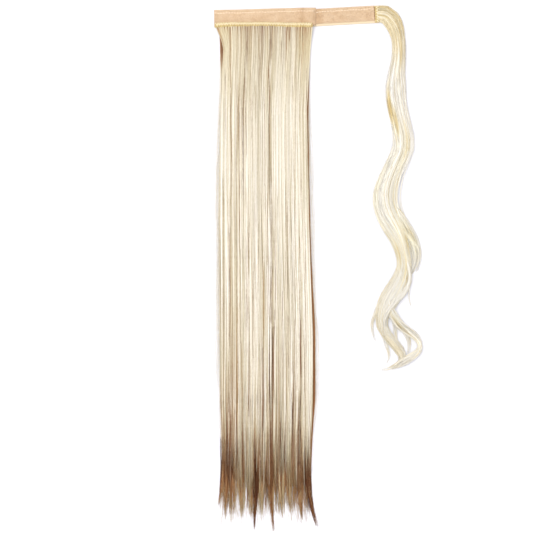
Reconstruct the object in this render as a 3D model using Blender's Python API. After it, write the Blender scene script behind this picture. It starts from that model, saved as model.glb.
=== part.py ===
"""A wrap-round ponytail hairpiece, lying flat on a surface.

X runs along the tape, from its plain end to the strap. Y points from the tips of the
hair to the tape. Z is up off the surface. The origin is the middle of the underside of
the base band, and the whole piece rests on the plane through it.
"""
import math
from collections import namedtuple

import bmesh
import bpy
from mathutils import Vector

# The base band: a loop tape, and how far its right end climbs over the tucked strap
BAND_LENGTH = 0.117
BAND_WIDTH = 0.020
BAND_THICKNESS = 0.0016
BAND_CLIMB = 0.010

# The strap: a loop tape on a wider hook tape, flush along their upper edges
STRAP_LENGTH = 0.0675
STRAP_TUCK = 0.015
LOOP_WIDTH = 0.0172
LOOP_THICKNESS = 0.0012
HOOK_WIDTH = 0.020
HOOK_THICKNESS = 0.0010

# The sewn wefts, flat ridges of folded and stitched hair
WEFT_WIDTH = 0.0052
WEFT_THICKNESS = 0.0024
WEFT_OVERHANG = 0.0008
WEFT_END_MARGIN = 0.0034
WRAP_WEFT_WIDTH = 0.0048
WRAP_WEFT_THICKNESS = 0.0020

# The straight hair, in two layers
HAIR_LENGTH = 0.581
HAIR_WIDTH = 0.104
UNDER_DEPTH = 0.0045
TOP_DEPTH = 0.0050
LOCK_TIP_WIDTH = 0.0012

# The wavy strand at the end of the strap
WRAP_DROP = 0.406
WRAP_SWAY = 0.0322
WRAP_WIDTH = 0.0285
WRAP_DEPTH = 0.0065

# Air between pieces that touch on the real thing, and between the two layers of hair
CLEARANCE = 0.0003
LAYER_GAP = 0.0004

# How deep the grooves between two locks cut, and how thin hair gets at a layer's sides
GROOVE = 0.38
SIDE_THINNING = 0.55

# Past the split: how fast a lock narrows and swings aside, and how flat its tip is
TIP_NARROWING = 0.75
TIP_SWING = 1.5
TIP_FLATTENING = 0.6

# Where the two layers part into single locks, as shares of the hair's length
UNDER_SPLIT = 0.92
TOP_SPLIT = 0.83

# Rise of a tape's middle along its length: shares of the length, and of its width
Rise = namedtuple("Rise", "along rise")
BAND_RISE = (
    Rise(-0.50, -0.070),
    Rise(-0.25, -0.050),
    Rise(0.00, 0.000),
    Rise(0.25, 0.040),
    Rise(0.50, 0.035),
)
WEFT_RISE = (
    Rise(-0.50, -0.065),
    Rise(-0.37, -0.012),
    Rise(0.00, 0.000),
    Rise(0.21, -0.030),
    Rise(0.50, -0.060),
)
STRAP_TUCKED_RISE = 0.030
STRAP_RISE = (
    Rise(0.00, 0.055),
    Rise(0.43, 0.155),
    Rise(1.00, 0.275),
)

# Sides of a hair layer as shares of HAIR_WIDTH from the middle, and its thickness as a
# share of the layer's depth, at shares of HAIR_LENGTH down from the root
Section = namedtuple("Section", "along left right depth")
UNDER_SECTIONS = (
    Section(0.036, -0.503, 0.503, 0.50),
    Section(0.10, -0.498, 0.492, 0.75),
    Section(0.17, -0.498, 0.487, 0.90),
    Section(0.34, -0.514, 0.498, 0.96),
    Section(0.46, -0.509, 0.518, 1.00),
    Section(0.60, -0.503, 0.560, 1.00),
    Section(0.74, -0.503, 0.562, 1.00),
    Section(0.83, -0.484, 0.518, 0.72),
    Section(0.90, -0.481, 0.509, 0.52),
    Section(1.00, -0.481, 0.509, 0.22),
)
TOP_SECTIONS = (
    Section(0.036, -0.448, 0.509, 0.62),
    Section(0.10, -0.465, 0.483, 0.86),
    Section(0.17, -0.481, 0.464, 1.00),
    Section(0.34, -0.498, 0.481, 1.00),
    Section(0.46, -0.487, 0.500, 0.98),
    Section(0.60, -0.487, 0.531, 0.90),
    Section(0.74, -0.496, 0.531, 0.76),
    Section(0.83, -0.476, 0.507, 0.56),
    Section(0.90, -0.476, 0.490, 0.36),
    Section(1.00, -0.476, 0.490, 0.20),
)

# Locks of a layer from left to right: the share of the layer's width, how high the crest
# stands, how far down the tip reaches, and the tip's shift as a share of HAIR_WIDTH
Lock = namedtuple("Lock", "width crest tip shift")
UNDER_LOCKS = (
    Lock(0.027, 0.70, 0.949, -0.053),
    Lock(0.055, 0.90, 0.974, -0.017),
    Lock(0.077, 0.80, 0.968, -0.017),
    Lock(0.120, 1.00, 0.972, -0.006),
    Lock(0.126, 0.88, 0.996, 0.014),
    Lock(0.093, 0.95, 0.988, -0.008),
    Lock(0.120, 0.82, 1.000, 0.011),
    Lock(0.098, 1.00, 0.978, 0.006),
    Lock(0.120, 0.85, 0.972, 0.006),
    Lock(0.093, 0.95, 0.986, 0.014),
    Lock(0.071, 0.80, 0.993, 0.091),
)
TOP_LOCKS = (
    Lock(0.079, 0.80, 0.877, -0.017),
    Lock(0.107, 1.00, 0.893, 0.000),
    Lock(0.096, 0.78, 0.909, 0.000),
    Lock(0.101, 0.95, 0.919, -0.017),
    Lock(0.112, 0.85, 0.897, -0.011),
    Lock(0.112, 1.00, 0.913, -0.011),
    Lock(0.112, 0.80, 0.877, -0.017),
    Lock(0.101, 0.92, 0.905, -0.017),
    Lock(0.090, 0.84, 0.917, -0.017),
    Lock(0.090, 0.96, 0.889, -0.011),
)

# Upper side of one lock: share of its width from the left, and height from groove to crest
LOCK_PROFILE = ((0.0, 0.0), (0.22, 0.78), (0.5, 1.0), (0.78, 0.78), (1.0, 0.0))
LOCK_TIP_STEPS = (0.35, 0.70, 1.0)

# A lock of the wavy strand, row by row: the middle's sideways place as a share of
# WRAP_SWAY, its way down as a share of WRAP_DROP, and shares of WRAP_WIDTH and WRAP_DEPTH.
# The strand's body also has a first row at its weft, with the weft's own size.
Bend = namedtuple("Bend", "sway drop width depth")
WRAP_BODY = (
    Bend(0.26, 0.002, 0.77, 0.50),
    Bend(0.51, 0.026, 0.73, 0.62),
    Bend(0.66, 0.061, 0.58, 0.85),
    Bend(0.70, 0.093, 0.50, 1.00),
    Bend(0.69, 0.129, 0.50, 1.00),
    Bend(0.62, 0.169, 0.60, 0.92),
    Bend(0.59, 0.209, 0.79, 0.76),
    Bend(0.63, 0.254, 0.77, 0.76),
    Bend(0.74, 0.305, 0.74, 0.80),
    Bend(0.85, 0.350, 0.81, 0.80),
    Bend(0.84, 0.384, 0.83, 0.86),
    Bend(0.63, 0.421, 0.79, 0.95),
    Bend(0.39, 0.464, 0.85, 0.90),
    Bend(0.21, 0.515, 1.00, 0.76),
    Bend(0.30, 0.563, 0.98, 0.76),
    Bend(0.57, 0.608, 0.89, 0.85),
    Bend(0.73, 0.642, 0.66, 1.00),
    Bend(0.86, 0.679, 0.55, 1.00),
    Bend(0.90, 0.713, 0.56, 0.95),
    Bend(0.80, 0.744, 0.65, 0.90),
    Bend(0.57, 0.781, 0.77, 0.80),
    Bend(0.30, 0.815, 0.79, 0.75),
    Bend(0.11, 0.849, 0.58, 0.80),
    Bend(0.08, 0.880, 0.48, 0.75),
    Bend(0.23, 0.906, 0.42, 0.70),
    Bend(0.50, 0.931, 0.40, 0.60),
    Bend(0.75, 0.954, 0.42, 0.50),
    Bend(0.86, 0.974, 0.34, 0.40),
    Bend(0.75, 0.993, 0.13, 0.25),
)
WRAP_CURL = (
    Bend(0.68, 0.588, 0.40, 0.66),
    Bend(0.96, 0.615, 0.42, 0.66),
    Bend(1.18, 0.642, 0.40, 0.60),
    Bend(1.30, 0.670, 0.40, 0.54),
    Bend(1.30, 0.696, 0.34, 0.48),
    Bend(1.24, 0.719, 0.21, 0.38),
    Bend(1.16, 0.737, 0.07, 0.20),
)
WRAP_CROSSING = (
    Bend(1.02, 0.719, 0.24, 0.80),
    Bend(1.05, 0.753, 0.26, 0.80),
    Bend(0.89, 0.787, 0.27, 0.86),
    Bend(0.54, 0.818, 0.27, 0.90),
    Bend(0.24, 0.849, 0.26, 0.90),
    Bend(0.12, 0.883, 0.21, 0.80),
    Bend(0.18, 0.917, 0.10, 0.50),
)
WRAP_LOOP = (
    Bend(0.32, 0.823, 0.28, 0.80),
    Bend(0.48, 0.852, 0.40, 0.80),
    Bend(0.73, 0.880, 0.37, 0.70),
    Bend(1.05, 0.900, 0.32, 0.60),
    Bend(1.32, 0.918, 0.24, 0.52),
    Bend(1.46, 0.938, 0.19, 0.50),
    Bend(1.41, 0.957, 0.24, 0.52),
    Bend(1.14, 0.973, 0.32, 0.56),
    Bend(0.82, 0.989, 0.31, 0.56),
    Bend(0.45, 1.006, 0.07, 0.24),
)

# Upper side of the strand, with two grooves, and of a single lock of it: the place
# across from -1 to 1, and the height as a share of the depth
WRAP_BODY_PROFILE = (
    (-1.0, 0.42), (-0.70, 0.84), (-0.36, 0.68), (-0.04, 1.0), (0.30, 0.72), (0.66, 0.90), (1.0, 0.42),
)
WRAP_LOCK_PROFILE = ((-1.0, 0.40), (-0.45, 0.88), (0.10, 1.0), (0.60, 0.80), (1.0, 0.40))

# The single locks lie a little higher one after the other, where they cross
WRAP_LOCK_STEP = 0.0004
WRAP_CROSSING_RISE = 0.0012

CURVE_STEPS = 2
STRAP_STEPS = 4
BAND_SEGMENTS = 21
SMOOTH_ANGLE = math.radians(35)

Finish = namedtuple("Finish", "colour roughness")
TAN_TAPE = Finish((0.81, 0.57, 0.38), 0.95)
CREAM_TAPE = Finish((0.93, 0.80, 0.62), 0.85)
WEFT_BLONDE = Finish((0.80, 0.66, 0.34), 0.70)
TOP_BLONDE = Finish((0.84, 0.74, 0.54), 0.45)
UNDER_BROWN = Finish((0.27, 0.14, 0.07), 0.50)
WRAP_BLONDE = Finish((0.92, 0.82, 0.60), 0.45)


def clear_scene():
    for item in list(bpy.data.objects):
        bpy.data.objects.remove(item, do_unlink=True)


def new_collection(name):
    collection = bpy.data.collections.new(name)
    bpy.context.scene.collection.children.link(collection)
    return collection


def material(name, finish):
    result = bpy.data.materials.new(name)
    result.use_nodes = True
    shader = result.node_tree.nodes["Principled BSDF"]
    shader.inputs["Base Color"].default_value = (*finish.colour, 1.0)
    shader.inputs["Roughness"].default_value = finish.roughness
    shader.inputs["Metallic"].default_value = 0.0
    return result


def smooth_rows(rows, steps):
    """The rows and others in between, on a smooth curve that passes through each row."""
    padded = [rows[0], *rows, rows[-1]]
    result = []
    for before, start, end, after in zip(padded, padded[1:], padded[2:], padded[3:]):
        for step in range(steps):
            t = step / steps
            result.append([
                b + 0.5 * t * (c - a + t * (2 * a - 5 * b + 4 * c - d + t * (3 * (b - c) + d - a)))
                for a, b, c, d in zip(before, start, end, after)])
    return result + [list(rows[-1])]


def between(rows, along):
    """The row at a place along a table, on straight lines between its rows."""
    for low, high in zip(rows, rows[1:]):
        if along <= high.along:
            break
    t = min(max((along - low.along) / (high.along - low.along), 0.0), 1.0)
    return type(low)(*(a + (b - a) * t for a, b in zip(low, high)))


# Where the tapes run

def strap_start():
    return BAND_LENGTH / 2 - STRAP_TUCK


def climb_foot(height):
    """Where a strip that lies this high on the band's underside starts to climb."""
    slope = math.atan2(strap_stack(), BAND_CLIMB)
    return strap_start() - 2 * CLEARANCE - BAND_CLIMB - height * math.tan(slope / 2)


def strap_stack():
    """How far the tucked strap lifts the band off the surface."""
    return HOOK_THICKNESS + LOOP_THICKNESS + 2 * CLEARANCE


def band_lift(x, height):
    climbed = (x - climb_foot(height)) / BAND_CLIMB
    return strap_stack() * min(max(climbed, 0.0), 1.0)


def band_middle(x):
    return BAND_WIDTH * between(BAND_RISE, x / BAND_LENGTH).rise


def weft_middle(x):
    rise = BAND_WIDTH * between(WEFT_RISE, x / BAND_LENGTH).rise
    return WEFT_WIDTH / 2 - BAND_WIDTH / 2 - WEFT_OVERHANG + rise


def band_path(left, right, middle, height):
    """The path of a strip along the band, with a point at each end of its climb."""
    foot = climb_foot(height)
    plain = [left + (right - left) * step / BAND_SEGMENTS for step in range(BAND_SEGMENTS + 1)]
    kept = [x for x in plain[1:-1] if abs(x - foot - BAND_CLIMB / 2) > BAND_CLIMB]
    stations = sorted([left, *kept, foot, foot + BAND_CLIMB, right])
    return [Vector((x, middle(x), height + band_lift(x, height))) for x in stations]


def strap_path():
    """The middle of the strap's loop tape, from its tucked start to its end."""
    tucked = [-STRAP_TUCK / STRAP_LENGTH, STRAP_TUCKED_RISE]
    return [Vector((BAND_LENGTH / 2 + along * STRAP_LENGTH, rise * LOOP_WIDTH, 0.0))
            for along, rise in [tucked, *smooth_rows(STRAP_RISE, STRAP_STEPS)]]


def strap_heading():
    path = strap_path()
    return (path[-1] - path[-2]).normalized()


def turned_left(heading):
    return Vector((-heading.y, heading.x, 0.0))


def wrap_weft_middle():
    """The middle of the short weft, just past the end of the loop tape."""
    past = CLEARANCE + WRAP_WEFT_WIDTH / 2
    down = (HOOK_WIDTH - LOOP_WIDTH) / 2
    heading = strap_heading()
    return strap_path()[-1] + heading * past - turned_left(heading) * down


# Tapes and wefts

def tape(name, path, width, thickness, finish, collection):
    """A flat strip with rounded edges, its middle along a path in the air."""
    curve = bpy.data.curves.new(name, "CURVE")
    curve.dimensions = "3D"
    curve.twist_mode = "Z_UP"
    curve.extrude = (width - thickness) / 2
    curve.bevel_depth = thickness / 2
    curve.bevel_resolution = 2
    curve.use_fill_caps = True
    spline = curve.splines.new("POLY")
    spline.points.add(len(path) - 1)
    for point, place in zip(spline.points, path):
        point.co = (*place, 1.0)
        point.tilt = math.pi / 2
    curve.materials.append(material(name, finish))
    strip = bpy.data.objects.new(name, curve)
    collection.objects.link(strip)
    return strip


def base_band(collection):
    path = band_path(-BAND_LENGTH / 2, BAND_LENGTH / 2, band_middle, BAND_THICKNESS / 2)
    tape("base_band", path, BAND_WIDTH, BAND_THICKNESS, TAN_TAPE, collection)


def main_weft(collection):
    height = BAND_THICKNESS + CLEARANCE + WEFT_THICKNESS / 2
    path = band_path(-BAND_LENGTH / 2, BAND_LENGTH / 2 - WEFT_END_MARGIN, weft_middle, height)
    tape("main_weft", path, WEFT_WIDTH, WEFT_THICKNESS, WEFT_BLONDE, collection)


def strap_tape(collection):
    up = Vector((0.0, 0.0, HOOK_THICKNESS + CLEARANCE + LOOP_THICKNESS / 2))
    path = [place + up for place in strap_path()]
    tape("strap_tape", path, LOOP_WIDTH, LOOP_THICKNESS, TAN_TAPE, collection)


def strap_backing(collection):
    """The hook tape, flush with the upper edge of the loop tape and longer at the end."""
    aside = Vector((0.0, (LOOP_WIDTH - HOOK_WIDTH) / 2, HOOK_THICKNESS / 2))
    places = strap_path()
    tail = strap_heading() * (CLEARANCE + WRAP_WEFT_WIDTH)
    path = [place + aside for place in [*places, places[-1] + tail]]
    tape("strap_backing", path, HOOK_WIDTH, HOOK_THICKNESS, CREAM_TAPE, collection)


def wrap_weft(collection):
    middle = wrap_weft_middle()
    half = turned_left(strap_heading()) * HOOK_WIDTH / 2
    height = Vector((0.0, 0.0, HOOK_THICKNESS + CLEARANCE + WRAP_WEFT_THICKNESS / 2))
    path = [middle - half + height, middle + height, middle + half + height]
    tape("wrap_weft", path, WRAP_WEFT_WIDTH, WRAP_WEFT_THICKNESS, WEFT_BLONDE, collection)


# The two layers of straight hair

def in_metres(sections, depth):
    return [Section(row.along, row.left * HAIR_WIDTH, row.right * HAIR_WIDTH, row.depth * depth)
            for row in sections]


def under_sections():
    """The lower layer starts at the band's edge, and keeps clear of the tucked strap."""
    left = -BAND_LENGTH / 2 + WEFT_WIDTH
    right = strap_start() - 2 * CLEARANCE
    hook_edge = strap_path()[0].y + LOOP_WIDTH / 2 - HOOK_WIDTH
    past_hook = max(under_root(right) - hook_edge, 0.0) + 2 * CLEARANCE
    root = Section(0.0, left, right, BAND_THICKNESS)
    held_back = Section(past_hook / HAIR_LENGTH, left, right, BAND_THICKNESS)
    return [root, held_back, *in_metres(UNDER_SECTIONS, UNDER_DEPTH)]


def top_sections():
    left = -BAND_LENGTH / 2 + BAND_THICKNESS
    right = BAND_LENGTH / 2 - WEFT_END_MARGIN
    root = Section(0.0, left, right, WEFT_THICKNESS)
    return [root, *in_metres(TOP_SECTIONS, TOP_DEPTH)]


def thinned(section, x):
    """The thickness of a layer at one place across it: less towards its sides."""
    middle = (section.left + section.right) / 2
    aside = min(abs(x - middle) / (section.right - middle), 1.0)
    return section.depth * (1 - SIDE_THINNING * aside * aside)


def under_root(x):
    return band_middle(x) - BAND_WIDTH / 2 - CLEARANCE


def under_height(x, along):
    return thinned(between(under_sections(), along), x)


def under_floor(x, along):
    return 0.0


def top_root(x):
    return weft_middle(x) - WEFT_WIDTH / 2 - CLEARANCE


def top_height(x, along):
    """As thick as the weft all along the root, and thinned towards the sides below it."""
    return WEFT_THICKNESS if along == 0.0 else thinned(between(top_sections(), along), x)


def top_floor(x, along):
    if along == 0.0:
        height = BAND_THICKNESS + LAYER_GAP
        return height + band_lift(x, height)
    return under_height(x, along) + LAYER_GAP


Layer = namedtuple("Layer", "sections locks split floor height root")


def lock_span(layer, index, along):
    """The left and right side of one lock. Past the split it narrows towards its tip."""
    lock = layer.locks[index]
    section = between(layer.sections, min(along, layer.split))
    width = section.right - section.left
    left = section.left + width * sum(row.width for row in layer.locks[:index])
    right = left + width * lock.width
    if along <= layer.split:
        return left, right
    t = (along - layer.split) / (lock.tip - layer.split)
    middle = (left + right) / 2 + lock.shift * HAIR_WIDTH * t ** TIP_SWING
    half = (right - left) / 2 * (1 - t) ** TIP_NARROWING + LOCK_TIP_WIDTH / 2 * t
    return middle - half, middle + half


def lock_ring(layer, index, along):
    """One section round a lock: its upper side from the left, then its flat underside."""
    lock = layer.locks[index]
    left, right = lock_span(layer, index, along)
    past_split = max(along - layer.split, 0.0) / (lock.tip - layer.split)

    def point(share, height):
        x = left + (right - left) * share
        y = layer.root(x) - along * HAIR_LENGTH
        full = layer.height(x, along) * (1 - TIP_FLATTENING * past_split)
        return Vector((x, y, layer.floor(x, along) + full * height))

    upper = [point(share, 1 - GROOVE * (1 - crest * lock.crest)) for share, crest in LOCK_PROFILE]
    lower = [point(share, 0.0) for share in (1.0, 0.5, 0.0)]
    return upper + lower


def hair_layer(name, layer, finish, collection):
    """Locks side by side in one body: joined along their grooves down to the split."""
    shell = bmesh.new()
    joined = [section.along for section in layer.sections if section.along < layer.split]
    joined.append(layer.split)
    right_wall = len(LOCK_PROFILE) - 1
    for index, lock in enumerate(layer.locks):
        free = [layer.split + (lock.tip - layer.split) * step for step in LOCK_TIP_STEPS]
        rings = [[shell.verts.new(point) for point in lock_ring(layer, index, along)]
                 for along in joined + free]
        sides = len(rings[0])
        left_wall = sides - 1
        for row, (upper, lower) in enumerate(zip(rings, rings[1:])):
            parted = row >= len(joined) - 1
            for side in range(sides):
                if side == right_wall and not parted and index < len(layer.locks) - 1:
                    continue
                if side == left_wall and not parted and index > 0:
                    continue
                turn = (side + 1) % sides
                shell.faces.new((upper[side], upper[turn], lower[turn], lower[side]))
        shell.faces.new(rings[0])
        shell.faces.new(rings[-1])
    bmesh.ops.remove_doubles(shell, verts=shell.verts, dist=1e-6)
    return body_from(shell, name, finish, collection)


def body_from(shell, name, finish, collection):
    """The finished object of a closed shell, smooth but for its sharp edges."""
    bmesh.ops.recalc_face_normals(shell, faces=shell.faces)
    mesh = bpy.data.meshes.new(name)
    shell.to_mesh(mesh)
    shell.free()
    mesh.shade_smooth()
    mesh.set_sharp_from_angle(angle=SMOOTH_ANGLE)
    mesh.materials.append(material(name, finish))
    body = bpy.data.objects.new(name, mesh)
    collection.objects.link(body)
    return body


# The wavy strand

def wrap_root():
    heading = strap_heading()
    return wrap_weft_middle() + heading * (WRAP_WEFT_WIDTH / 2 + CLEARANCE)


def wrap_body_bends():
    weft_top = HOOK_THICKNESS + CLEARANCE + WRAP_WEFT_THICKNESS
    return [Bend(0.0, 0.0, HOOK_WIDTH / WRAP_WIDTH, weft_top / WRAP_DEPTH), *WRAP_BODY]


def wavy_lock(name, bends, profile, floor, collection, first_heading=None):
    """A flattish lock that lies along a wavy path, lofted through a ring at each bend."""
    root = wrap_root()
    rows = smooth_rows(bends, CURVE_STEPS)
    places = [root + Vector((row[0] * WRAP_SWAY, -row[1] * WRAP_DROP, floor)) for row in rows]
    shell = bmesh.new()
    rings = []
    for index, (place, row) in enumerate(zip(places, rows)):
        ahead = places[min(index + 1, len(places) - 1)] - places[max(index - 1, 0)]
        heading = first_heading if first_heading and index == 0 else ahead.normalized()
        across = -turned_left(heading)
        half = row[2] * WRAP_WIDTH / 2
        depth = row[3] * WRAP_DEPTH
        upper = [place + across * half * u + Vector((0.0, 0.0, depth * h)) for u, h in profile]
        lower = [place + across * half * u for u in (1.0, 0.0, -1.0)]
        rings.append([shell.verts.new(point) for point in upper + lower])
    for ring, following in zip(rings, rings[1:]):
        for side in range(len(ring)):
            turn = (side + 1) % len(ring)
            shell.faces.new((ring[side], ring[turn], following[turn], following[side]))
    shell.faces.new(rings[0])
    shell.faces.new(rings[-1])
    return body_from(shell, name, WRAP_BLONDE, collection)


def wrap_hair(collection, guides):
    strand = wavy_lock("wrap_hair", wrap_body_bends(), WRAP_BODY_PROFILE, 0.0, collection,
                       first_heading=strap_heading())
    extra_locks = (
        ("wrap_curl", WRAP_CURL, WRAP_LOCK_STEP),
        ("wrap_loop", WRAP_LOOP, 2 * WRAP_LOCK_STEP),
        ("wrap_crossing", WRAP_CROSSING, WRAP_CROSSING_RISE),
    )
    for name, bends, floor in extra_locks:
        lock = wavy_lock(name, bends, WRAP_LOCK_PROFILE, floor, guides)
        lock.hide_render = True
        lock.display_type = "WIRE"
        union = strand.modifiers.new(name, "BOOLEAN")
        union.operation = "UNION"
        union.solver = "EXACT"
        union.object = lock


def main():
    clear_scene()
    parts = new_collection("ponytail_hairpiece")
    guides = new_collection("guides")
    base_band(parts)
    strap_tape(parts)
    strap_backing(parts)
    main_weft(parts)
    wrap_weft(parts)
    under = Layer(under_sections(), UNDER_LOCKS, UNDER_SPLIT, under_floor, under_height, under_root)
    hair_layer("under_hair", under, UNDER_BROWN, parts)
    top = Layer(top_sections(), TOP_LOCKS, TOP_SPLIT, top_floor, top_height, top_root)
    hair_layer("top_hair", top, TOP_BLONDE, parts)
    wrap_hair(parts, guides)


main()
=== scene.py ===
# %% [markdown]
# A wrap-round ponytail hairpiece lies flat on a pale table, seen from straight above.
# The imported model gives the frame: plain solids for the two tapes, the sewn wefts and the
# three bodies of hair. Each of them could be dressed with a material alone, but hair and
# pile are made of threads. So every solid is replaced here by a piece that keeps to its
# place and size, and is built of threads where the real one is.

# %% Load the frame
import math

import bpy
import numpy as np
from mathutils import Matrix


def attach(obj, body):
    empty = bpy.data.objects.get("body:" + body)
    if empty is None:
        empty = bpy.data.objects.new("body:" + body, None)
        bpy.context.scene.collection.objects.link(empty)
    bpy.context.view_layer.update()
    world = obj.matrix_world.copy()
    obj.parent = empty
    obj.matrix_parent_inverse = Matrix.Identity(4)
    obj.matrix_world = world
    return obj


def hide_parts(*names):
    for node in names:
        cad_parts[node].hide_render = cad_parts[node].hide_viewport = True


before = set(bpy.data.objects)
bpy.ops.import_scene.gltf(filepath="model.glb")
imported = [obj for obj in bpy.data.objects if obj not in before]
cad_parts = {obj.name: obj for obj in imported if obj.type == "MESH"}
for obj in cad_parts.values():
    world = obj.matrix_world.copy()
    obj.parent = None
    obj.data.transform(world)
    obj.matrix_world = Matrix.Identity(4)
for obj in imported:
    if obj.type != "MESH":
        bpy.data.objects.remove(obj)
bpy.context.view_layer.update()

print("nodes:", sorted(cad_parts))

# %% [markdown]
# The photograph is taken from straight above, from far away, with the tape along its upper
# edge. It is 540 pixels wide and high, and a pixel is 1.15 mm on the table. The middle of
# the base band lies at the pixel named below. A long lens from 2.6 m gives the same flat
# look. An orthographic camera would do as well, but a real lens shows a little of the sides
# of what stands up, as the photograph does.

# %% Camera
PIXEL = 0.00115
PIXELS = 540
ORIGIN_PIXEL = (265, 17)
CAMERA_HEIGHT = 2.6
HAIR_TOP = 0.004
SENSOR = 36.0

camera_data = bpy.data.cameras.new("overhead")
camera_data.sensor_width = SENSOR
camera_data.lens = SENSOR * (CAMERA_HEIGHT - HAIR_TOP) / (PIXELS * PIXEL)
camera = bpy.data.objects.new("overhead", camera_data)
camera.location = ((PIXELS / 2 - ORIGIN_PIXEL[0]) * PIXEL, (ORIGIN_PIXEL[1] - PIXELS / 2) * PIXEL,
                   CAMERA_HEIGHT)
bpy.context.scene.collection.objects.link(camera)
bpy.context.scene.camera = camera
bpy.context.scene.view_settings.view_transform = "Standard"
print("lens, mm:", round(camera_data.lens, 1))

# %% [markdown]
# The real piece was lit so softly that its table comes out white, with a faint cool shade
# beside the hair. A bright even sky gives that shade, and one large soft lamp above the
# upper left corner adds a little direction, so that each lock has a lit and a dim side.

# %% Sky and lamp
SKY = (0.965, 0.96, 1.0, 1.0)
SKY_STRENGTH = 0.95
LAMP_SIZE = 2.0
LAMP_POWER = 30.0
LAMP_PLACE = (-0.6, 0.1, 1.9)
LAMP_TILT = (-12, -18, 0)

world = bpy.data.worlds.new("soft_sky")
world.use_nodes = True
world.node_tree.nodes["Background"].inputs["Color"].default_value = SKY
world.node_tree.nodes["Background"].inputs["Strength"].default_value = SKY_STRENGTH
bpy.context.scene.world = world

lamp_data = bpy.data.lights.new("softbox", "AREA")
lamp_data.size = LAMP_SIZE
lamp_data.energy = LAMP_POWER
lamp = bpy.data.objects.new("softbox", lamp_data)
lamp.location = LAMP_PLACE
lamp.rotation_euler = [math.radians(angle) for angle in LAMP_TILT]
bpy.context.scene.collection.objects.link(lamp)
print("lamp at", list(lamp.location))

# %% [markdown]
# Materials are built from nodes. Writing each node by hand makes the sums hard to read, so
# a small class wraps one socket: adding or multiplying two of them adds the Math node, and
# one method makes any other node from its type, its settings and its inputs.

# %% Wires: sockets that can be written in sums


class Wire:
    """A socket of a material's nodes, or only the material's nodes where it has none."""

    def __init__(self, tree, socket=None):
        self.tree = tree
        self.socket = socket

    def node(self, kind, settings=None, inputs=None, output=0):
        made = self.tree.nodes.new(kind)
        for name, value in (settings or {}).items():
            if name == "stops":
                stops = made.color_ramp.elements
                while len(stops) < len(value):
                    stops.new(0.5)
                for stop, (place, colour) in zip(stops, value):
                    stop.position = place
                    stop.color = colour
            else:
                setattr(made, name, value)
        for name, value in (inputs or {}).items():
            if isinstance(value, Wire):
                self.tree.links.new(value.socket, made.inputs[name])
            else:
                made.inputs[name].default_value = value
        return Wire(self.tree, made.outputs[output])

    def math(self, operation, first, second):
        return self.node("ShaderNodeMath", {"operation": operation}, {0: first, 1: second})

    def __add__(self, other):
        return self.math("ADD", self, other)

    __radd__ = __add__

    def __sub__(self, other):
        return self.math("SUBTRACT", self, other)

    def __mul__(self, other):
        return self.math("MULTIPLY", self, other)

    def mixed(self, first, second, share):
        """Two colours mixed by a share from 0 to 1."""
        return self.node("ShaderNodeMix", {"data_type": "RGBA"}, {0: share, 6: first, 7: second}, output=2)

    def ramp(self, stops):
        """The colour that this wire's value has between the stops given."""
        return self.node("ShaderNodeValToRGB", {"stops": stops}, {0: self})

    def attribute(self, name):
        return self.node("ShaderNodeAttribute", {"attribute_name": name}, output=2)

    def place(self):
        """The place on the object itself, in metres."""
        return self.node("ShaderNodeTexCoord", output=3)

    def noise(self, scale, detail=2.0, dimensions="3D"):
        """Noise at the place that this wire gives."""
        return self.node("ShaderNodeTexNoise", {"noise_dimensions": dimensions},
                         {"Vector": self, "Scale": scale, "Detail": detail})

    def waves(self, direction, scale, distortion):
        """Bands across one direction, at the place that this wire gives."""
        return self.node("ShaderNodeTexWave", {"bands_direction": direction},
                         {"Vector": self, "Scale": scale, "Distortion": distortion})


def paint(red, green, blue):
    """A colour as a screen shows it, 0 to 255, turned into the light values of a shader."""
    return (*(((c / 255 + 0.055) / 1.055) ** 2.4 for c in (red, green, blue)), 1.0)


def new_finish(name, roughness, sheen=0.0, specular=0.5):
    """A new material: its nodes as a wire to start from, and its shader."""
    material = bpy.data.materials.new(name)
    material.use_nodes = True
    shader = material.node_tree.nodes["Principled BSDF"]
    shader.inputs["Roughness"].default_value = roughness
    shader.inputs["Sheen Weight"].default_value = sheen
    shader.inputs["Specular IOR Level"].default_value = specular
    return material, Wire(material.node_tree), shader


def wire_to(shader, name, wire):
    wire.tree.links.new(wire.socket, shader.inputs[name])


def raise_bumps(shader, height, strength, distance):
    """Lets a wire's value stand up from the surface as fine bumps."""
    wire_to(shader, "Normal", height.node(
        "ShaderNodeBump", inputs={"Height": height, "Strength": strength, "Distance": distance}))


print("white in light values:", paint(255, 255, 255)[:3])

# %% [markdown]
# The table is a plain white sheet, wide enough for every view. It isn't part of the piece,
# and it lies a hair's breadth under it so that the two surfaces never fight.

# %% Table
TABLE_REACH = 3.0
TABLE_LEVEL = -0.0003

table_mesh = bpy.data.meshes.new("table")
corners = [(x * TABLE_REACH, y * TABLE_REACH, TABLE_LEVEL) for x, y in ((-1, -1), (1, -1), (1, 1), (-1, 1))]
table_mesh.from_pydata(corners, [], [(0, 1, 2, 3)])
table_top = bpy.data.objects.new("table", table_mesh)
bpy.context.scene.collection.objects.link(table_top)
table_paper, wire, shader = new_finish("table_paper", 0.9, specular=0.1)
table_grain = wire.place().noise(40.0)
wire_to(shader, "Base Color", wire.mixed(paint(232, 232, 235), paint(236, 236, 238), table_grain))
table_mesh.materials.append(table_paper)
print("table:", table_top.name)

# %% [markdown]
# Everything on the piece that looks like thread is a tube: hair, pile loops, stitches. A
# curve object could make each tube, but thousands of them are far quicker as one mesh. The
# helper below takes the middle lines of many tubes at once, and gives each a closed skin
# with three or more sides. Its faces keep the same order all along, so that the outside of
# every tube faces outwards.

# %% Tubes around many lines at once
UP = np.array((0.0, 0.0, 1.0))


REVERSED = [0, 3, 2, 1]


def unit(vectors):
    return vectors / np.maximum(np.linalg.norm(vectors, axis=-1, keepdims=True), 1e-12)


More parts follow.
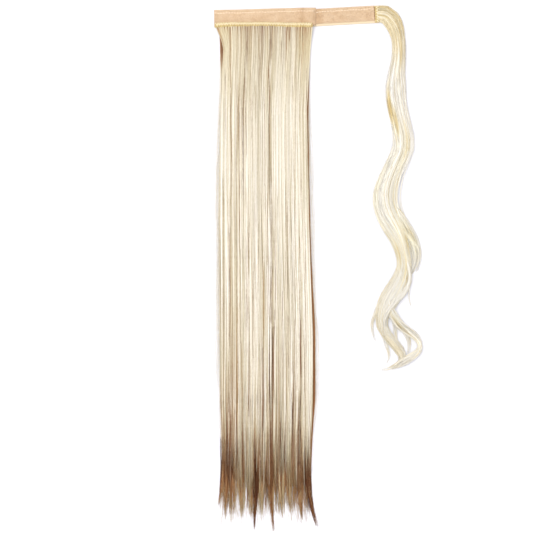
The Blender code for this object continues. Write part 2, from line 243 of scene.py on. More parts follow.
def walls_between(index):
    """Four-sided faces between one ring of points and the next, from the number of each point."""
    turned = np.roll(index, -1, axis=-1)
    near, far, far_turned, near_turned = (
        index[..., :-1, :], index[..., 1:, :], turned[..., 1:, :], turned[..., :-1, :])
    return np.stack((near, far, far_turned, near_turned), axis=-1).reshape(-1, 4)


def tubes(lines, radii, sides=3, reference=UP, flat=1.0):
    """Points, four-sided faces and end faces of closed tubes.

    lines holds one row of points for each tube, and radii one radius for each point. flat
    below 1 presses each tube flat, and reference says which way is up for it.
    """
    lines = np.asarray(lines, float)
    count, rings = lines.shape[:2]
    heading = unit(np.gradient(lines, axis=1))
    across = unit(np.cross(heading, reference))
    lift = np.cross(heading, across)
    turn = 2 * math.pi * (np.arange(sides) + 0.25) / sides
    radii = np.broadcast_to(radii, (count, rings))[..., None, None]
    points = lines[:, :, None] + radii * (
        np.cos(turn)[:, None] * across[:, :, None] + flat * np.sin(turn)[:, None] * lift[:, :, None])
    index = np.arange(count * rings * sides).reshape(count, rings, sides)
    ends = np.concatenate((index[:, 0, ::-1], index[:, -1]))
    return points.reshape(-1, 3), walls_between(index)[:, REVERSED], ends


class Skein:
    """Gathers tubes and other closed skins into one piece, with their named values."""

    def __init__(self, *names):
        self.names = names
        self.points, self.faces, self.sheets = [], [], []
        self.values = {name: [] for name in names}
        self.total = 0

    def add(self, points, faces, sheet=None, **values):
        """Takes in a skin: faces is a list of index arrays, sheet the place of points on a sheet."""
        points = np.asarray(points, float)
        self.points.append(points)
        self.faces.extend(rows + self.total for rows in faces)
        self.sheets.append(np.zeros((len(points), 2)) if sheet is None else sheet)
        for name in self.names:
            self.values[name].append(np.broadcast_to(values[name], len(points)))
        self.total += len(points)

    def add_tubes(self, lines, radii, sides=3, reference=UP, flat=1.0, **values):
        """Takes in tubes, whose values are given for each of them or for each of their points."""
        points, walls, ends = tubes(lines, radii, sides, reference, flat)
        count, rings = np.shape(lines)[:2]
        spread = {name: np.repeat(np.broadcast_to(value, (count, rings)).reshape(-1), sides)
                  for name, value in values.items()}
        sheet = None
        if "column" in spread:
            sheet = np.stack((spread["column"], spread["along"]), axis=1)
            sheet[:, 0] += np.tile(np.arange(sides) / sides * COLUMN_WIDTH, count * rings)
        self.add(points, [walls, ends], sheet, **{k: spread[k] for k in self.names})

    def piece(self, name, material, nodes=(), slot=None):
        """The finished object, which rides on the body and stands for the nodes given."""
        faces = [row for rows in self.faces for row in rows.tolist()]
        mesh = bpy.data.meshes.new(name)
        mesh.from_pydata(np.concatenate(self.points), [], faces)
        for label in self.names:
            attribute = mesh.attributes.new(label, "FLOAT", "POINT")
            attribute.data.foreach_set("value", np.concatenate(self.values[label]).astype(np.float32))
        if "column" in self.names:
            corner = np.zeros(len(mesh.loops), np.int32)
            mesh.loops.foreach_get("vertex_index", corner)
            sheet = mesh.uv_layers.new(name="OFBake")
            sheet.data.foreach_set("uv", np.concatenate(self.sheets)[corner].astype(np.float32).ravel())
        mesh.shade_smooth()
        mesh.materials.append(material)
        made = bpy.data.objects.new(name, mesh)
        bpy.context.scene.collection.objects.link(made)
        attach(made, "root")
        if nodes:
            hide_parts(*nodes)
        triangles = sum(len(rows) * (rows.shape[1] - 2) for rows in self.faces)
        print(f"{name}: {triangles} triangles")
        return made


COLUMNS = 420
COLUMN_WIDTH = 0.5 / COLUMNS
draw = np.random.default_rng(24)
print("colour columns:", COLUMNS)

# %% [markdown]
# The tapes run where the solids run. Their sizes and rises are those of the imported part:
# the base band rises a little to the right, and its last stretch climbs over the tucked
# end of the strap. The same few rows give the middle line of each tape.

# %% Where the tapes run
BAND_LENGTH, BAND_WIDTH, BAND_THICKNESS, BAND_CLIMB = 0.117, 0.020, 0.0016, 0.010
STRAP_LENGTH, STRAP_TUCK = 0.0675, 0.015
LOOP_WIDTH, LOOP_THICKNESS = 0.0172, 0.0012
HOOK_WIDTH, HOOK_THICKNESS = 0.020, 0.0010
WEFT_WIDTH, WEFT_THICKNESS, WEFT_OVERHANG, WEFT_END_MARGIN = 0.0052, 0.0024, 0.0008, 0.0034
WRAP_WEFT_WIDTH, WRAP_WEFT_THICKNESS = 0.0048, 0.0020
CLEARANCE, LAYER_GAP = 0.0003, 0.0004
BAND_RISE = ((-0.50, -0.070), (-0.25, -0.050), (0.00, 0.000), (0.25, 0.040), (0.50, 0.035))
WEFT_RISE = ((-0.50, -0.065), (-0.37, -0.012), (0.00, 0.000), (0.21, -0.030), (0.50, -0.060))
STRAP_RISE = ((0.00, 0.055), (0.43, 0.155), (1.00, 0.275))
STRAP_TUCKED_RISE = 0.030
STRAP_START = BAND_LENGTH / 2 - STRAP_TUCK
STACK = HOOK_THICKNESS + LOOP_THICKNESS + 2 * CLEARANCE


def read_off(rows, place, column=1):
    """The value in one column of a table, read off at a place given in its first column."""
    rows = np.array(rows)
    return np.interp(place, rows[:, 0], rows[:, column])


def smooth_rows(rows, steps):
    """The rows and others in between, on a smooth curve that passes through each row."""
    rows = np.array(rows, float)
    padded = np.concatenate((rows[:1], rows, rows[-1:]))
    result = []
    for a, b, c, d in zip(padded, padded[1:], padded[2:], padded[3:]):
        for t in np.arange(steps) / steps:
            result.append(b + 0.5 * t * (c - a + t * (2 * a - 5 * b + 4 * c - d
                                                      + t * (3 * (b - c) + d - a))))
    return np.array([*result, rows[-1]])


def band_lift(x, height):
    """How far the base band, at a height in it, is raised by the tucked end of the strap."""
    slope = math.atan2(STACK, BAND_CLIMB)
    foot = STRAP_START - 2 * CLEARANCE - BAND_CLIMB - height * math.tan(slope / 2)
    return STACK * np.clip((x - foot) / BAND_CLIMB, 0.0, 1.0)


def band_middle(x):
    return BAND_WIDTH * read_off(BAND_RISE, x / BAND_LENGTH)


def weft_middle(x):
    rise = BAND_WIDTH * read_off(WEFT_RISE, x / BAND_LENGTH)
    return WEFT_WIDTH / 2 - BAND_WIDTH / 2 - WEFT_OVERHANG + rise


def along_band(left, right, middle, height, step=0.001):
    """A path at a height above the table, along the band or the weft on it."""
    x = np.linspace(left, right, int((right - left) / step) + 1)
    return np.stack((x, middle(x), height + band_lift(x, height)), axis=1)


def strap_middle():
    """The middle line of the strap, from its tucked end to its far one."""
    rows = np.concatenate(([(-STRAP_TUCK / STRAP_LENGTH, STRAP_TUCKED_RISE)],
                           smooth_rows(STRAP_RISE, 4)))
    return np.stack((BAND_LENGTH / 2 + rows[:, 0] * STRAP_LENGTH,
                     rows[:, 1] * LOOP_WIDTH, 0 * rows[:, 0]), axis=1)


def run_along(path):
    """How far along a path each of its points is."""
    return np.concatenate(([0.0], np.cumsum(np.linalg.norm(np.diff(path, axis=0), axis=1))))


def read_between(place, marks, rows):
    """Rows of values, one for each mark, read off at any places between the marks."""
    return np.stack([np.interp(place, marks, column) for column in rows.T], axis=-1)


def evenly(path, step=0.001):
    """The same path, with a point at each step along it."""
    run = run_along(path)
    return read_between(np.linspace(0.0, run[-1], int(run[-1] / step) + 1), run, path)


strap_heading = unit(strap_middle()[-1] - strap_middle()[-2])
strap_left = np.array((-strap_heading[1], strap_heading[0], 0.0))
print("strap end:", strap_middle()[-1], "heading", strap_heading)

# %% [markdown]
# Soft random values are needed all over: for the unevenness of pile, the wander of hairs
# and the change of tone from lock to lock. Blender's noise texture only works inside a
# material, so this helper draws a coarse grid of random numbers and reads it smoothly.

# %% Soft random values


def soft_noise(x, y):
    """Random values from -1 to 1 that change smoothly over one cell of x and y."""
    x, y = np.broadcast_arrays(x, y)
    x = x - np.floor(x.min())
    y = y - np.floor(y.min())
    grid = draw.uniform(-1, 1, (int(x.max()) + 2, int(y.max()) + 2))
    i, j = x.astype(int), y.astype(int)
    u, v = x - i, y - j
    u, v = u * u * (3 - 2 * u), v * v * (3 - 2 * v)
    low = grid[i, j] * (1 - u) + grid[i + 1, j] * u
    high = grid[i, j + 1] * (1 - u) + grid[i + 1, j + 1] * u
    return low * (1 - v) + high * v


def ease(value):
    """From 0 to 1, slowly at both ends."""
    value = np.clip(value, 0.0, 1.0)
    return value * value * (3 - 2 * value)


print("a soft value:", float(soft_noise(np.array([0.5]), np.array([0.5]))[0]))

# %% [markdown]
# The base band and the face of the strap are loop tape: a woven strip covered in a low,
# brushed pile of tiny loops, with a flat woven margin along both edges. The strip is a
# closed skin with rounded edges, a point every millimetre, and a slightly uneven top. The
# pile is real thread too: small arches that stand on the strip, too small to count in the
# photograph but enough to give its soft grainy look and a fuzzy edge from the side.

# %% A woven strip with rounded edges


def closed_sheet(upper, lower, reverse=False):
    """The skin around two sheets of points, one over the other: its points and its faces.

    reverse is for sheets whose columns run the other way across, so that it faces outwards.
    """
    rows, columns = upper.shape[:2]
    ring = np.concatenate((upper, lower[:, ::-1]), axis=1)
    index = np.arange(rows * 2 * columns).reshape(rows, 2 * columns)
    near, far = index[0], index[-1]
    pairs = np.arange(columns - 1)
    start = np.stack((near[pairs], near[pairs + 1], near[-2 - pairs], near[-1 - pairs]), axis=1)
    end = np.stack((far[pairs + 1], far[pairs], far[-1 - pairs], far[-2 - pairs]), axis=1)
    faces = [walls_between(index), start, end]
    if reverse:
        faces = [rows[:, REVERSED] for rows in faces]
    return ring.reshape(-1, 3), faces


def strip(path, width, thickness, cells=20, unevenness=0.0, fullness=1.0):
    """A closed strip around a path: its points and faces."""
    heading = unit(np.gradient(path, axis=0) * (1, 1, 0))
    left = np.stack((-heading[:, 1], heading[:, 0], 0 * heading[:, 0]), axis=1)
    across = np.linspace(-0.5, 0.5, cells + 1)
    edge = np.clip((0.5 - np.abs(across)) * width / (thickness / 2), 0.0, 1.0)
    rim = thickness / 2 * np.sqrt(1 - (1 - edge) ** 2) + thickness * 0.02
    bump = unevenness * soft_noise(np.arange(len(path))[:, None] * 0.8, across * cells * 0.8)
    upper = path[:, None] + left[:, None] * across[:, None] * width
    lower = upper.copy()
    upper[..., 2] += (rim + bump * edge) * np.broadcast_to(fullness, len(path))[:, None]
    lower[..., 2] -= rim
    return closed_sheet(upper, lower)


def frame_along(path, run, across):
    """Points beside a path, at shares of its length and distances to its left, and both ways there."""
    share = np.linspace(0.0, 1.0, len(path))
    ahead = read_between(run, share, unit(np.gradient(path, axis=0) * (1, 1, 0)))
    left = np.stack((-ahead[..., 1], ahead[..., 0], 0 * ahead[..., 0]), axis=-1)
    return read_between(run, share, path) + left * np.asarray(across)[..., None], ahead, left


print("strip check:", len(strip(along_band(-0.05, 0.05, band_middle, 0.0), 0.02, 0.001)[0]))

# %% [markdown]
# The pile is tan, finely mottled where loops lean different ways, and painted darker where
# shade falls: where the band climbs over the strap, and beside its end. This painted shade
# comes from a value stored on the mesh, and the mottling from noise at the size of a few loops.

# %% Finish of the loop tape
TAN, TAN_DEEP, TAN_PALE = paint(216, 188, 154), paint(194, 160, 122), paint(230, 208, 178)
# The last tan is painted shade, mixed in by the value stored on the mesh.
TAN_PAINTED_SHADE = paint(176, 138, 98)


def pile_finish():
    material, wire, shader = new_finish("tan_loop_pile", 0.95, sheen=0.25, specular=0.15)
    place = wire.place()
    grain, cloud = place.noise(900.0, 3.0), place.noise(120.0)
    colour = wire.mixed(TAN_DEEP, TAN_PALE, grain * 0.85 + cloud * 0.95 - 0.40)
    colour = wire.mixed(colour, TAN, 0.30)
    # Painted shade: the darker tan goes where the mesh's stored value says shade falls.
    wire_to(shader, "Base Color", wire.mixed(colour, TAN_PAINTED_SHADE, wire.attribute("crease")))
    raise_bumps(shader, grain, 0.35, 0.0003)
    return material


tan_pile = pile_finish()
print("finish:", tan_pile.name)

# %% Loops of the pile
PILE_HEIGHT = 0.00042
PILE_RADIUS = 0.00009
PILE_ARCH = ((-1.0, -0.15), (-0.75, 0.7), (0.0, 1.0), (0.75, 0.7), (1.0, -0.15))
MARGIN = 0.0012


def add_pile(skein, path, width, thickness, count, crease, fullness=1.0):
    """Small arches of thread all over the upper side of a tape, between its margins."""
    run = draw.uniform(0.004, 0.996, count)
    side = draw.uniform(-width / 2 + MARGIN * 0.6, width / 2 - MARGIN * 0.6, count)
    spot, ahead, left = frame_along(path, run, side)
    turn = draw.uniform(0, math.pi, count)[:, None]
    lean = np.cos(turn) * ahead + np.sin(turn) * left
    reach = draw.uniform(0.0002, 0.00042, count)[:, None]
    tall = PILE_HEIGHT * draw.uniform(0.5, 1.0, count)
    share = np.linspace(0.0, 1.0, len(path))
    top = thickness / 2 * np.interp(run, share, np.broadcast_to(fullness, len(path)))
    lines = []
    for across, rise in PILE_ARCH:
        point = spot + lean * reach * across
        point[:, 2] += top + tall * rise
        lines.append(point)
    normal = np.cross(lean, UP)[:, None] * np.ones((1, 5, 1))
    skein.add_tubes(np.stack(lines, axis=1), PILE_RADIUS, reference=normal,
                    crease=crease(spot)[:, None])


def tape_skein(path, width, thickness, cells, unevenness, loops, crease, fullness=1.0):
    """A woven tape with its pile on top."""
    skein = Skein("crease")
    points, faces = strip(path, width, thickness, cells, unevenness, fullness)
    skein.add(points, faces, crease=crease(points))
    add_pile(skein, path, width, thickness, loops, crease, fullness)
    return skein


def band_painted_shade(points):
    """Painted shade on the pile: darker towards the lower edge, where the band starts to climb, and at its
    ends.
    """
    x, y = points[:, 0], points[:, 1]
    climb = 0.30 * np.exp(-((x - 0.0425) / 0.0030) ** 2)
    ends = 0.22 * np.exp(-((x - BAND_LENGTH / 2) / 0.0030) ** 2)
    left_end = 0.25 * np.exp(-((x + BAND_LENGTH / 2) / 0.0012) ** 2)
    return climb + ends + left_end + 0.20 * (0.5 - (y - band_middle(x)) / BAND_WIDTH)


def strap_painted_shade(points):
    """Painted shadow on the pile beside the end of the band that lies over the strap, and a little painted
    shade all over.
    """
    x = points[:, 0]
    return 0.10 + 0.34 * np.exp(-((x - BAND_LENGTH / 2 - 0.003) / 0.0045) ** 2)


band_path = along_band(-BAND_LENGTH / 2, BAND_LENGTH / 2, band_middle, BAND_THICKNESS / 2)
band_fullness = 1 - 1.6 * ease((band_path[:, 0] - BAND_LENGTH / 2 + 0.005) / 0.005)
band_skein = tape_skein(band_path, BAND_WIDTH, BAND_THICKNESS, 24, 0.00012, 3400, band_painted_shade, band_fullness)
band_skein.piece("base_band_pile", tan_pile, ["base_band"], "loop_tape")

strap_path = evenly(strap_middle())
strap_path[:, 2] = HOOK_THICKNESS + CLEARANCE + LOOP_THICKNESS / 2
strap_skein = tape_skein(strap_path, LOOP_WIDTH, LOOP_THICKNESS, 20, 0.0001, 2000, strap_painted_shade)
strap_skein.piece("strap_pile", tan_pile, ["strap_tape"], "loop_tape")

# %% [markdown]
# Under the strap lies a hook tape, whose pale woven margin shows along the lower edge and
# beside the short weft. Its weave is a checker of tiny raised threads: two wave textures,
# one for each way of the cloth, multiplied together. They are read at the place on the
# object in metres, so that the threads have their real size.

# %% Hook tape


def weave_finish():
    material, wire, shader = new_finish("cream_hook_weave", 0.85, sheen=0.1, specular=0.2)
    place = wire.place()
    weave = place.waves("X", 420.0, 0.6) * place.waves("Y", 420.0, 0.6)
    colour = wire.mixed(paint(222, 200, 164), paint(238, 222, 192), weave * 0.5 + place.noise(150.0) * 0.5)
    wire_to(shader, "Base Color", colour)
    raise_bumps(shader, weave, 0.4, 0.0002)
    return material


cream_weave = weave_finish()
tail = strap_middle()[-1] + strap_heading * (CLEARANCE + WRAP_WEFT_WIDTH)
hook_path = evenly(np.concatenate((strap_middle(), [tail])))
hook_path[:, 1] += (LOOP_WIDTH - HOOK_WIDTH) / 2
hook_path[:, 2] = HOOK_THICKNESS / 2
hook_skein = Skein()
hook_skein.add(*strip(hook_path, HOOK_WIDTH, HOOK_THICKNESS, 24, 0.00004))
hook_skein.piece("strap_hook_weave", cream_weave, ["strap_backing"], "hook_tape")

# %% [markdown]
# A pale row of machine stitches runs a little below the upper edge of both tapes. Each
# stitch is a short thread that bows up and dips back into the pile at its ends, so the row
# reads as a broken line, a touch lighter than the tape.

# %% Stitches
STITCH_LENGTH = 0.0027
STITCH_GAP = 0.0005
STITCH_START = 0.0004
STITCH_RADIUS = 0.00038
STITCH_MARKS = np.array((0.0, 0.12, 0.35, 0.65, 0.88, 1.0))
STITCH_BOW = 0.001 * np.array((-0.35, 0.05, 0.22, 0.22, 0.05, -0.35))
STITCH_TAPER = np.array((0.6, 1, 1, 1, 1, 0.6))


def thread_finish(name, pale, deep):
    """Twisted thread: narrow slanted bands of two tones."""
    material, wire, shader = new_finish(name, 0.7, sheen=0.1, specular=0.3)
    wire_to(shader, "Base Color", wire.mixed(deep, pale, wire.place().waves("DIAGONAL", 700.0, 1.0)))
    return material


def stitch_lines(path, across, height, wobble=0.0):
    """One short bowed line for each stitch along a path."""
    run = run_along(path)[-1]
    count = int(run / (STITCH_LENGTH + STITCH_GAP))
    starts = (np.arange(count)[:, None] * (STITCH_LENGTH + STITCH_GAP) + STITCH_START) / run
    steps = STITCH_MARKS * STITCH_LENGTH / run
    side = across + wobble * soft_noise(starts * 20, 0.0)
    spot = frame_along(path, starts + steps, side + 0 * steps)[0]
    spot[..., 2] += height + STITCH_BOW
    return spot


stitch_thread = thread_finish("pale_stitch_thread", paint(255, 240, 216), paint(240, 214, 180))
stitch_skein = Skein()
for path, width, thickness, depth in ((band_path, BAND_WIDTH, BAND_THICKNESS, 0.0040),
                                      (strap_path[15:], LOOP_WIDTH, LOOP_THICKNESS, 0.0038)):
    lines = stitch_lines(path, width / 2 - depth, thickness / 2, 0.0003)
    stitch_skein.add_tubes(lines, STITCH_RADIUS * STITCH_TAPER, sides=6)
stitch_skein.piece("tape_stitches", stitch_thread, slot="hook_tape")

# %% [markdown]
# Hair is sewn into a weft: bundles folded over a thread and locked with zigzag stitches,
# which makes a low yellow ridge along the band, and a short one across the strap's end. A
# ribbed texture would be flat from the side, so each fold is its own fat thread that arches
# over the ridge from edge to edge, leaning left and right by turns.

# %% Finish of the folded hair
WEFT_TONES = [(0.0, paint(168, 142, 88)), (0.35, paint(206, 182, 122)), (0.7, paint(226, 206, 150)),
              (1.0, paint(248, 238, 206))]


def fold_finish():
    material, wire, shader = new_finish("folded_blonde_weft", 0.55, sheen=0.1, specular=0.4)
    place = wire.place()
    strands = wire.node("ShaderNodeMapping", inputs={"Vector": place, "Scale": (1.0, 0.25, 1.0)})
    fibre, cloud = strands.noise(2600.0, 3.0), place.noise(260.0)
    tone = wire.attribute("tone") + fibre * 0.45 + cloud * 0.3 - 0.38
    wire_to(shader, "Base Color", tone.ramp(WEFT_TONES))
    raise_bumps(shader, fibre, 0.4, 0.0002)
    return material


weft_hair = fold_finish()
print("finish:", weft_hair.name)

# %% Folds and zigzag of a weft
FOLD_PITCH = 0.00125
FOLD_RADIUS = 0.00068
ZIGZAG_PITCH = 0.0031
ZIGZAG_RADIUS = 0.00042


def add_weft(skein, path, width, thickness):
    """A filled core, folds that arch over it, and the zigzag thread that locks them."""
    # The core is painted darkest, as painted shade seen between the folds.
    skein.add(*strip(path, width * 0.86, thickness * 0.72, 8), tone=0.2)
    run = run_along(path)[-1]
    count = int(run / FOLD_PITCH)
    middle = (np.arange(count) + 0.5 + draw.uniform(-0.2, 0.2, count)) / count
    by_turns = np.where(np.arange(count) % 2 == 0, 1, -1)
    slant = by_turns * draw.uniform(0.0004, 0.0009, count)
    arch = np.linspace(-1.0, 1.0, 9)
    reach = width / 2 * draw.uniform(0.96, 1.08, count)
    spot, ahead = frame_along(path, middle[:, None] + slant[:, None] * arch / run,
                              reach[:, None] * np.sin(arch * 1.45))[:2]
    rise = (thickness - FOLD_RADIUS * 1.3) * np.sqrt(np.maximum(1 - arch ** 4, 0.0)) - thickness / 2
    spot[..., 2] += rise + 0.00006 * draw.uniform(-1, 1, count)[:, None]
    radii = FOLD_RADIUS * draw.uniform(0.82, 1.08, count)[:, None] * (1 - 0.25 * arch ** 2)
    # Folds are painted lighter towards the upper edge and darker towards the lower one, as painted shade;
    # they also differ by turns and at random.
    tones = (0.50 + 0.17 * by_turns + 0.16 * draw.uniform(-1, 1, count))[:, None] + 0.12 * arch
    skein.add_tubes(spot, radii, sides=6, reference=ahead, tone=tones)
    add_zigzag(skein, path, width, thickness, run)


def add_zigzag(skein, path, width, thickness, run):
    """One thread that runs to and fro between the weft's upper edge and its middle."""
    turns = int(run / ZIGZAG_PITCH) * 2
    corner = np.arange(turns + 1)
    fine = np.linspace(0, turns, turns * 3 + 1)
    side = np.interp(fine, corner, np.where(corner % 2 == 0, 0.47, -0.12) * width)
    share = np.interp(fine, corner, np.linspace(0.01, 0.99, turns + 1))
    spot = frame_along(path, share, side)[0]
    spot[:, 2] += thickness * 0.5 + 0.00012 - 0.0036 * (side / width + 0.1) ** 2
    skein.add_tubes(spot[None], ZIGZAG_RADIUS, sides=5, tone=1.0)


weft_height = BAND_THICKNESS + CLEARANCE + WEFT_THICKNESS / 2
weft_path = along_band(-BAND_LENGTH / 2 + FOLD_RADIUS, BAND_LENGTH / 2 - WEFT_END_MARGIN - FOLD_RADIUS,
                       weft_middle, weft_height)
weft_skein = Skein("tone")
add_weft(weft_skein, weft_path, WEFT_WIDTH, WEFT_THICKNESS)
weft_skein.piece("main_weft_folds", weft_hair, ["main_weft"], "weft")

wrap_weft_middle = (strap_middle()[-1] + strap_heading * (CLEARANCE + WRAP_WEFT_WIDTH / 2)
                    - strap_left * (HOOK_WIDTH - LOOP_WIDTH) / 2)
wrap_weft_middle[2] = HOOK_THICKNESS + CLEARANCE + WRAP_WEFT_THICKNESS / 2
half_row = strap_left * (HOOK_WIDTH / 2 - FOLD_RADIUS)
wrap_weft_path = evenly(np.array((wrap_weft_middle + half_row, wrap_weft_middle - half_row)))
wrap_weft_skein = Skein("tone")
add_weft(wrap_weft_skein, wrap_weft_path, WRAP_WEFT_WIDTH, WRAP_WEFT_THICKNESS)
wrap_weft_skein.piece("wrap_weft_folds", weft_hair, ["wrap_weft"], "weft")

# %% [markdown]
# The strap's end is closed with a row of dark reddish stitches against the short weft. In
# the photograph it is a thin dark line, a pixel wide.

# %% Dark stitches at the strap's end
END_ROW_HALF = 0.0082
END_STITCH_RADIUS = 0.00024

dark_thread = thread_finish("russet_thread", paint(176, 116, 84), paint(120, 72, 50))
end_row = strap_path[-1] + strap_left * np.linspace(END_ROW_HALF, -END_ROW_HALF, 34)[:, None]
end_row = end_row - strap_heading * 0.0001
end_skein = Skein()
end_lines = stitch_lines(end_row, 0.0, LOOP_THICKNESS / 2 - 0.0001)
end_skein.add_tubes(end_lines, END_STITCH_RADIUS * STITCH_TAPER, sides=5)
end_skein.piece("strap_end_stitches", dark_thread, slot="loop_tape")

# %% [markdown]
# The straight hair is two layers, one over the other: a blonde one on top, and a brown one
# below that shows at the sides, in the partings and at the tips. Both keep the outline of
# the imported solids: rows of left and right side and of thickness, and a list of locks with
# their crests and tips. All are shares of the hair's width and length.

# %% Sections and locks of the two layers
HAIR_LENGTH, HAIR_WIDTH = 0.581, 0.104
UNDER_DEPTH, TOP_DEPTH = 0.0045, 0.0050
GROOVE, SIDE_THINNING, TIP_FLATTENING = 0.30, 0.55, 0.6
FAN_END, FAN_SHARE = 0.05, 0.12
# share along, place of the left and the right side, and thickness
UNDER_SECTIONS = (
    (0.036, -0.503, 0.503, 0.50), (0.10, -0.498, 0.492, 0.75), (0.17, -0.498, 0.487, 0.90),
    (0.34, -0.514, 0.498, 0.96), (0.46, -0.509, 0.518, 1.00), (0.60, -0.503, 0.560, 1.00),
    (0.74, -0.503, 0.562, 1.00), (0.83, -0.484, 0.518, 0.72), (0.90, -0.481, 0.509, 0.52),
    (1.00, -0.481, 0.509, 0.22))
TOP_SECTIONS = (
    (0.036, -0.462, 0.509, 0.62), (0.10, -0.480, 0.483, 0.86), (0.17, -0.488, 0.464, 1.00),
    (0.34, -0.498, 0.481, 1.00), (0.46, -0.487, 0.500, 0.98), (0.60, -0.487, 0.531, 0.90),
    (0.74, -0.496, 0.531, 0.76), (0.83, -0.476, 0.507, 0.56), (0.90, -0.476, 0.490, 0.36),
    (1.00, -0.476, 0.490, 0.20))
# share of the width, height of the crest, share along of the tip, and how far it leans
UNDER_LOCKS = (
    (0.027, 0.70, 0.949, -0.053), (0.055, 0.90, 0.974, -0.017), (0.077, 0.80, 0.968, -0.017),
    (0.120, 1.00, 0.972, -0.006), (0.126, 0.88, 0.996, 0.014), (0.093, 0.95, 0.988, -0.008),
    (0.120, 0.82, 1.000, 0.011), (0.098, 1.00, 0.978, 0.006), (0.120, 0.85, 0.972, 0.006),
    (0.093, 0.95, 0.986, 0.014), (0.071, 0.80, 0.993, 0.091))
TOP_LOCKS = (
    (0.079, 0.80, 0.877, -0.017), (0.107, 1.00, 0.893, 0.000), (0.096, 0.78, 0.909, 0.000),
    (0.101, 0.95, 0.919, -0.017), (0.112, 0.85, 0.897, -0.011), (0.112, 1.00, 0.913, -0.011),
    (0.112, 0.80, 0.877, -0.017), (0.101, 0.92, 0.905, -0.017), (0.090, 0.84, 0.917, -0.017),
    (0.090, 0.96, 0.889, -0.011))
# place across a lock, and how high it is there
LOCK_SHAPE = ((0.0, 0.0), (0.22, 0.78), (0.5, 1.0), (0.78, 0.78), (1.0, 0.0))


class Layer:
    """One layer of straight hair: where its sides, its locks and its surface are.

    root gives the line across the tape that it grows from, and floor the height that it
    lies on. It is given the sheets of its tones and the edges of its clumps further down.
    """

    def __init__(self, root_row, sections, depth, locks, split, root, floor):
        rows = [(s, a * HAIR_WIDTH, b * HAIR_WIDTH, d * depth) for s, a, b, d in sections]
        self.rows = np.array([root_row, *rows])
        self.locks = np.array(locks)
        self.edges = np.concatenate(([0.0], np.cumsum(self.locks[:, 0])))
        self.split, self.root, self.floor = split, root, floor
        self.sheets = self.clumps = None

    def side(self, along, column):
        return np.interp(along, self.rows[:, 0], self.rows[:, column])

    def place(self, share, along):
        """Sideways place of a share of the width. At the root only the outer hairs fan out."""
        settled = np.maximum(along, FAN_END)
        left, right = self.side(settled, 1), self.side(settled, 2)
        fan_left = (self.side(along, 1) - left) * np.clip(1 - share / FAN_SHARE, 0.0, 1.0)
        fan_right = (self.side(along, 2) - right) * np.clip(1 - (1 - share) / FAN_SHARE, 0.0, 1.0)
        return left + (right - left) * share + fan_left + fan_right

    def lock_of(self, share):
        return np.clip(np.searchsorted(self.edges, share, side="right") - 1, 0, len(self.locks) - 1)

    def inside(self, share, lock):
        """Where in its lock a share of the width is, from 0 to 1."""
        return (share - self.edges[lock]) / (self.edges[lock + 1] - self.edges[lock])

    def crest(self, share, lock):
        """How full the layer is at a share of its width: less in the grooves between locks."""
        return 1 - GROOVE * (1 - read_off(LOCK_SHAPE, self.inside(share, lock)) * self.locks[lock, 1])

    def full(self, x, along):
        """The layer's thickness at one place: less towards its sides."""
        left, right = self.side(along, 1), self.side(along, 2)
        aside = np.clip(np.abs(x - (left + right) / 2) / ((right - left) / 2), 0.0, 1.0)
        return self.side(along, 3) * (1 - SIDE_THINNING * aside ** 2)


def under_root(x):
    return band_middle(x) - BAND_WIDTH / 2 - CLEARANCE


def top_root(x):
    return weft_middle(x) - WEFT_WIDTH / 2 - CLEARANCE


def under_floor(x, along):
    return 0.0 * x


def top_floor(x, along):
    """What the top layer lies on: the lower layer, and at its root the band."""
    resting = under_layer.full(x, along) + LAYER_GAP
    at_root = BAND_THICKNESS + LAYER_GAP + band_lift(x, BAND_THICKNESS + LAYER_GAP)
    return at_root + (resting - at_root) * ease(along / 0.036)


under_layer = Layer(
    (0.0, -BAND_LENGTH / 2 + WEFT_WIDTH, STRAP_START - 2 * CLEARANCE, BAND_THICKNESS),
    UNDER_SECTIONS, UNDER_DEPTH, UNDER_LOCKS, 0.90, under_root, under_floor)
top_layer = Layer(
    (0.0, -BAND_LENGTH / 2 + BAND_THICKNESS, BAND_LENGTH / 2 - WEFT_END_MARGIN, WEFT_THICKNESS),
    TOP_SECTIONS, TOP_DEPTH, TOP_LOCKS, 0.83, top_root, top_floor)
print("locks:", len(under_layer.locks), "under,", len(top_layer.locks), "on top")

# %% [markdown]
# A hair is placed by its share of the layer's width, and by its level between the layer's
# floor and its surface. Hair clings together in clumps a millimetre or two wide, with fine
# furrows between them. So each hair also belongs to a clump, which draws it in towards its
# middle, lifts it there, and slowly wanders sideways with all its hairs. At the tips the
# clumps part and turn a little aside.

# %% Hairs of a straight layer
# how far along a hair its points are, from just under the weft to its end
RINGS = np.array((-0.004, 0.0, 0.008, 0.017, 0.03, 0.05, 0.10, 0.20, 0.34, 0.48, 0.62, 0.75, 0.86,
                  0.94, 1.0))
FRINGE_RINGS = np.linspace(0.0, 1.0, 9)
TIP_FLY = 0.0021
CLUMP_ARCH = 0.0003
HAIR_WAVER = 0.00009
SURFACE_MARGIN = 0.00045
LOWEST = 0.0002


def clumps_across(narrow, wide):
    """The edges of clumps over the whole width, from 0 to 1."""
    edges = [0.0]
    while edges[-1] < 1.0:
        edges.append(edges[-1] + draw.uniform(narrow, wide) / HAIR_WIDTH)
    return np.array(edges) / edges[-1]


def clump_of(clumps, share):
    """The clump that a hair belongs to, its middle, and the hair's place in it from -1 to 1."""
    clump = np.clip(np.searchsorted(clumps, share, side="right") - 1, 0, len(clumps) - 2)
    middle = (clumps[clump] + clumps[clump + 1]) / 2
    return clump, middle, (share - middle) / (clumps[clump + 1] - clumps[clump]) * 2


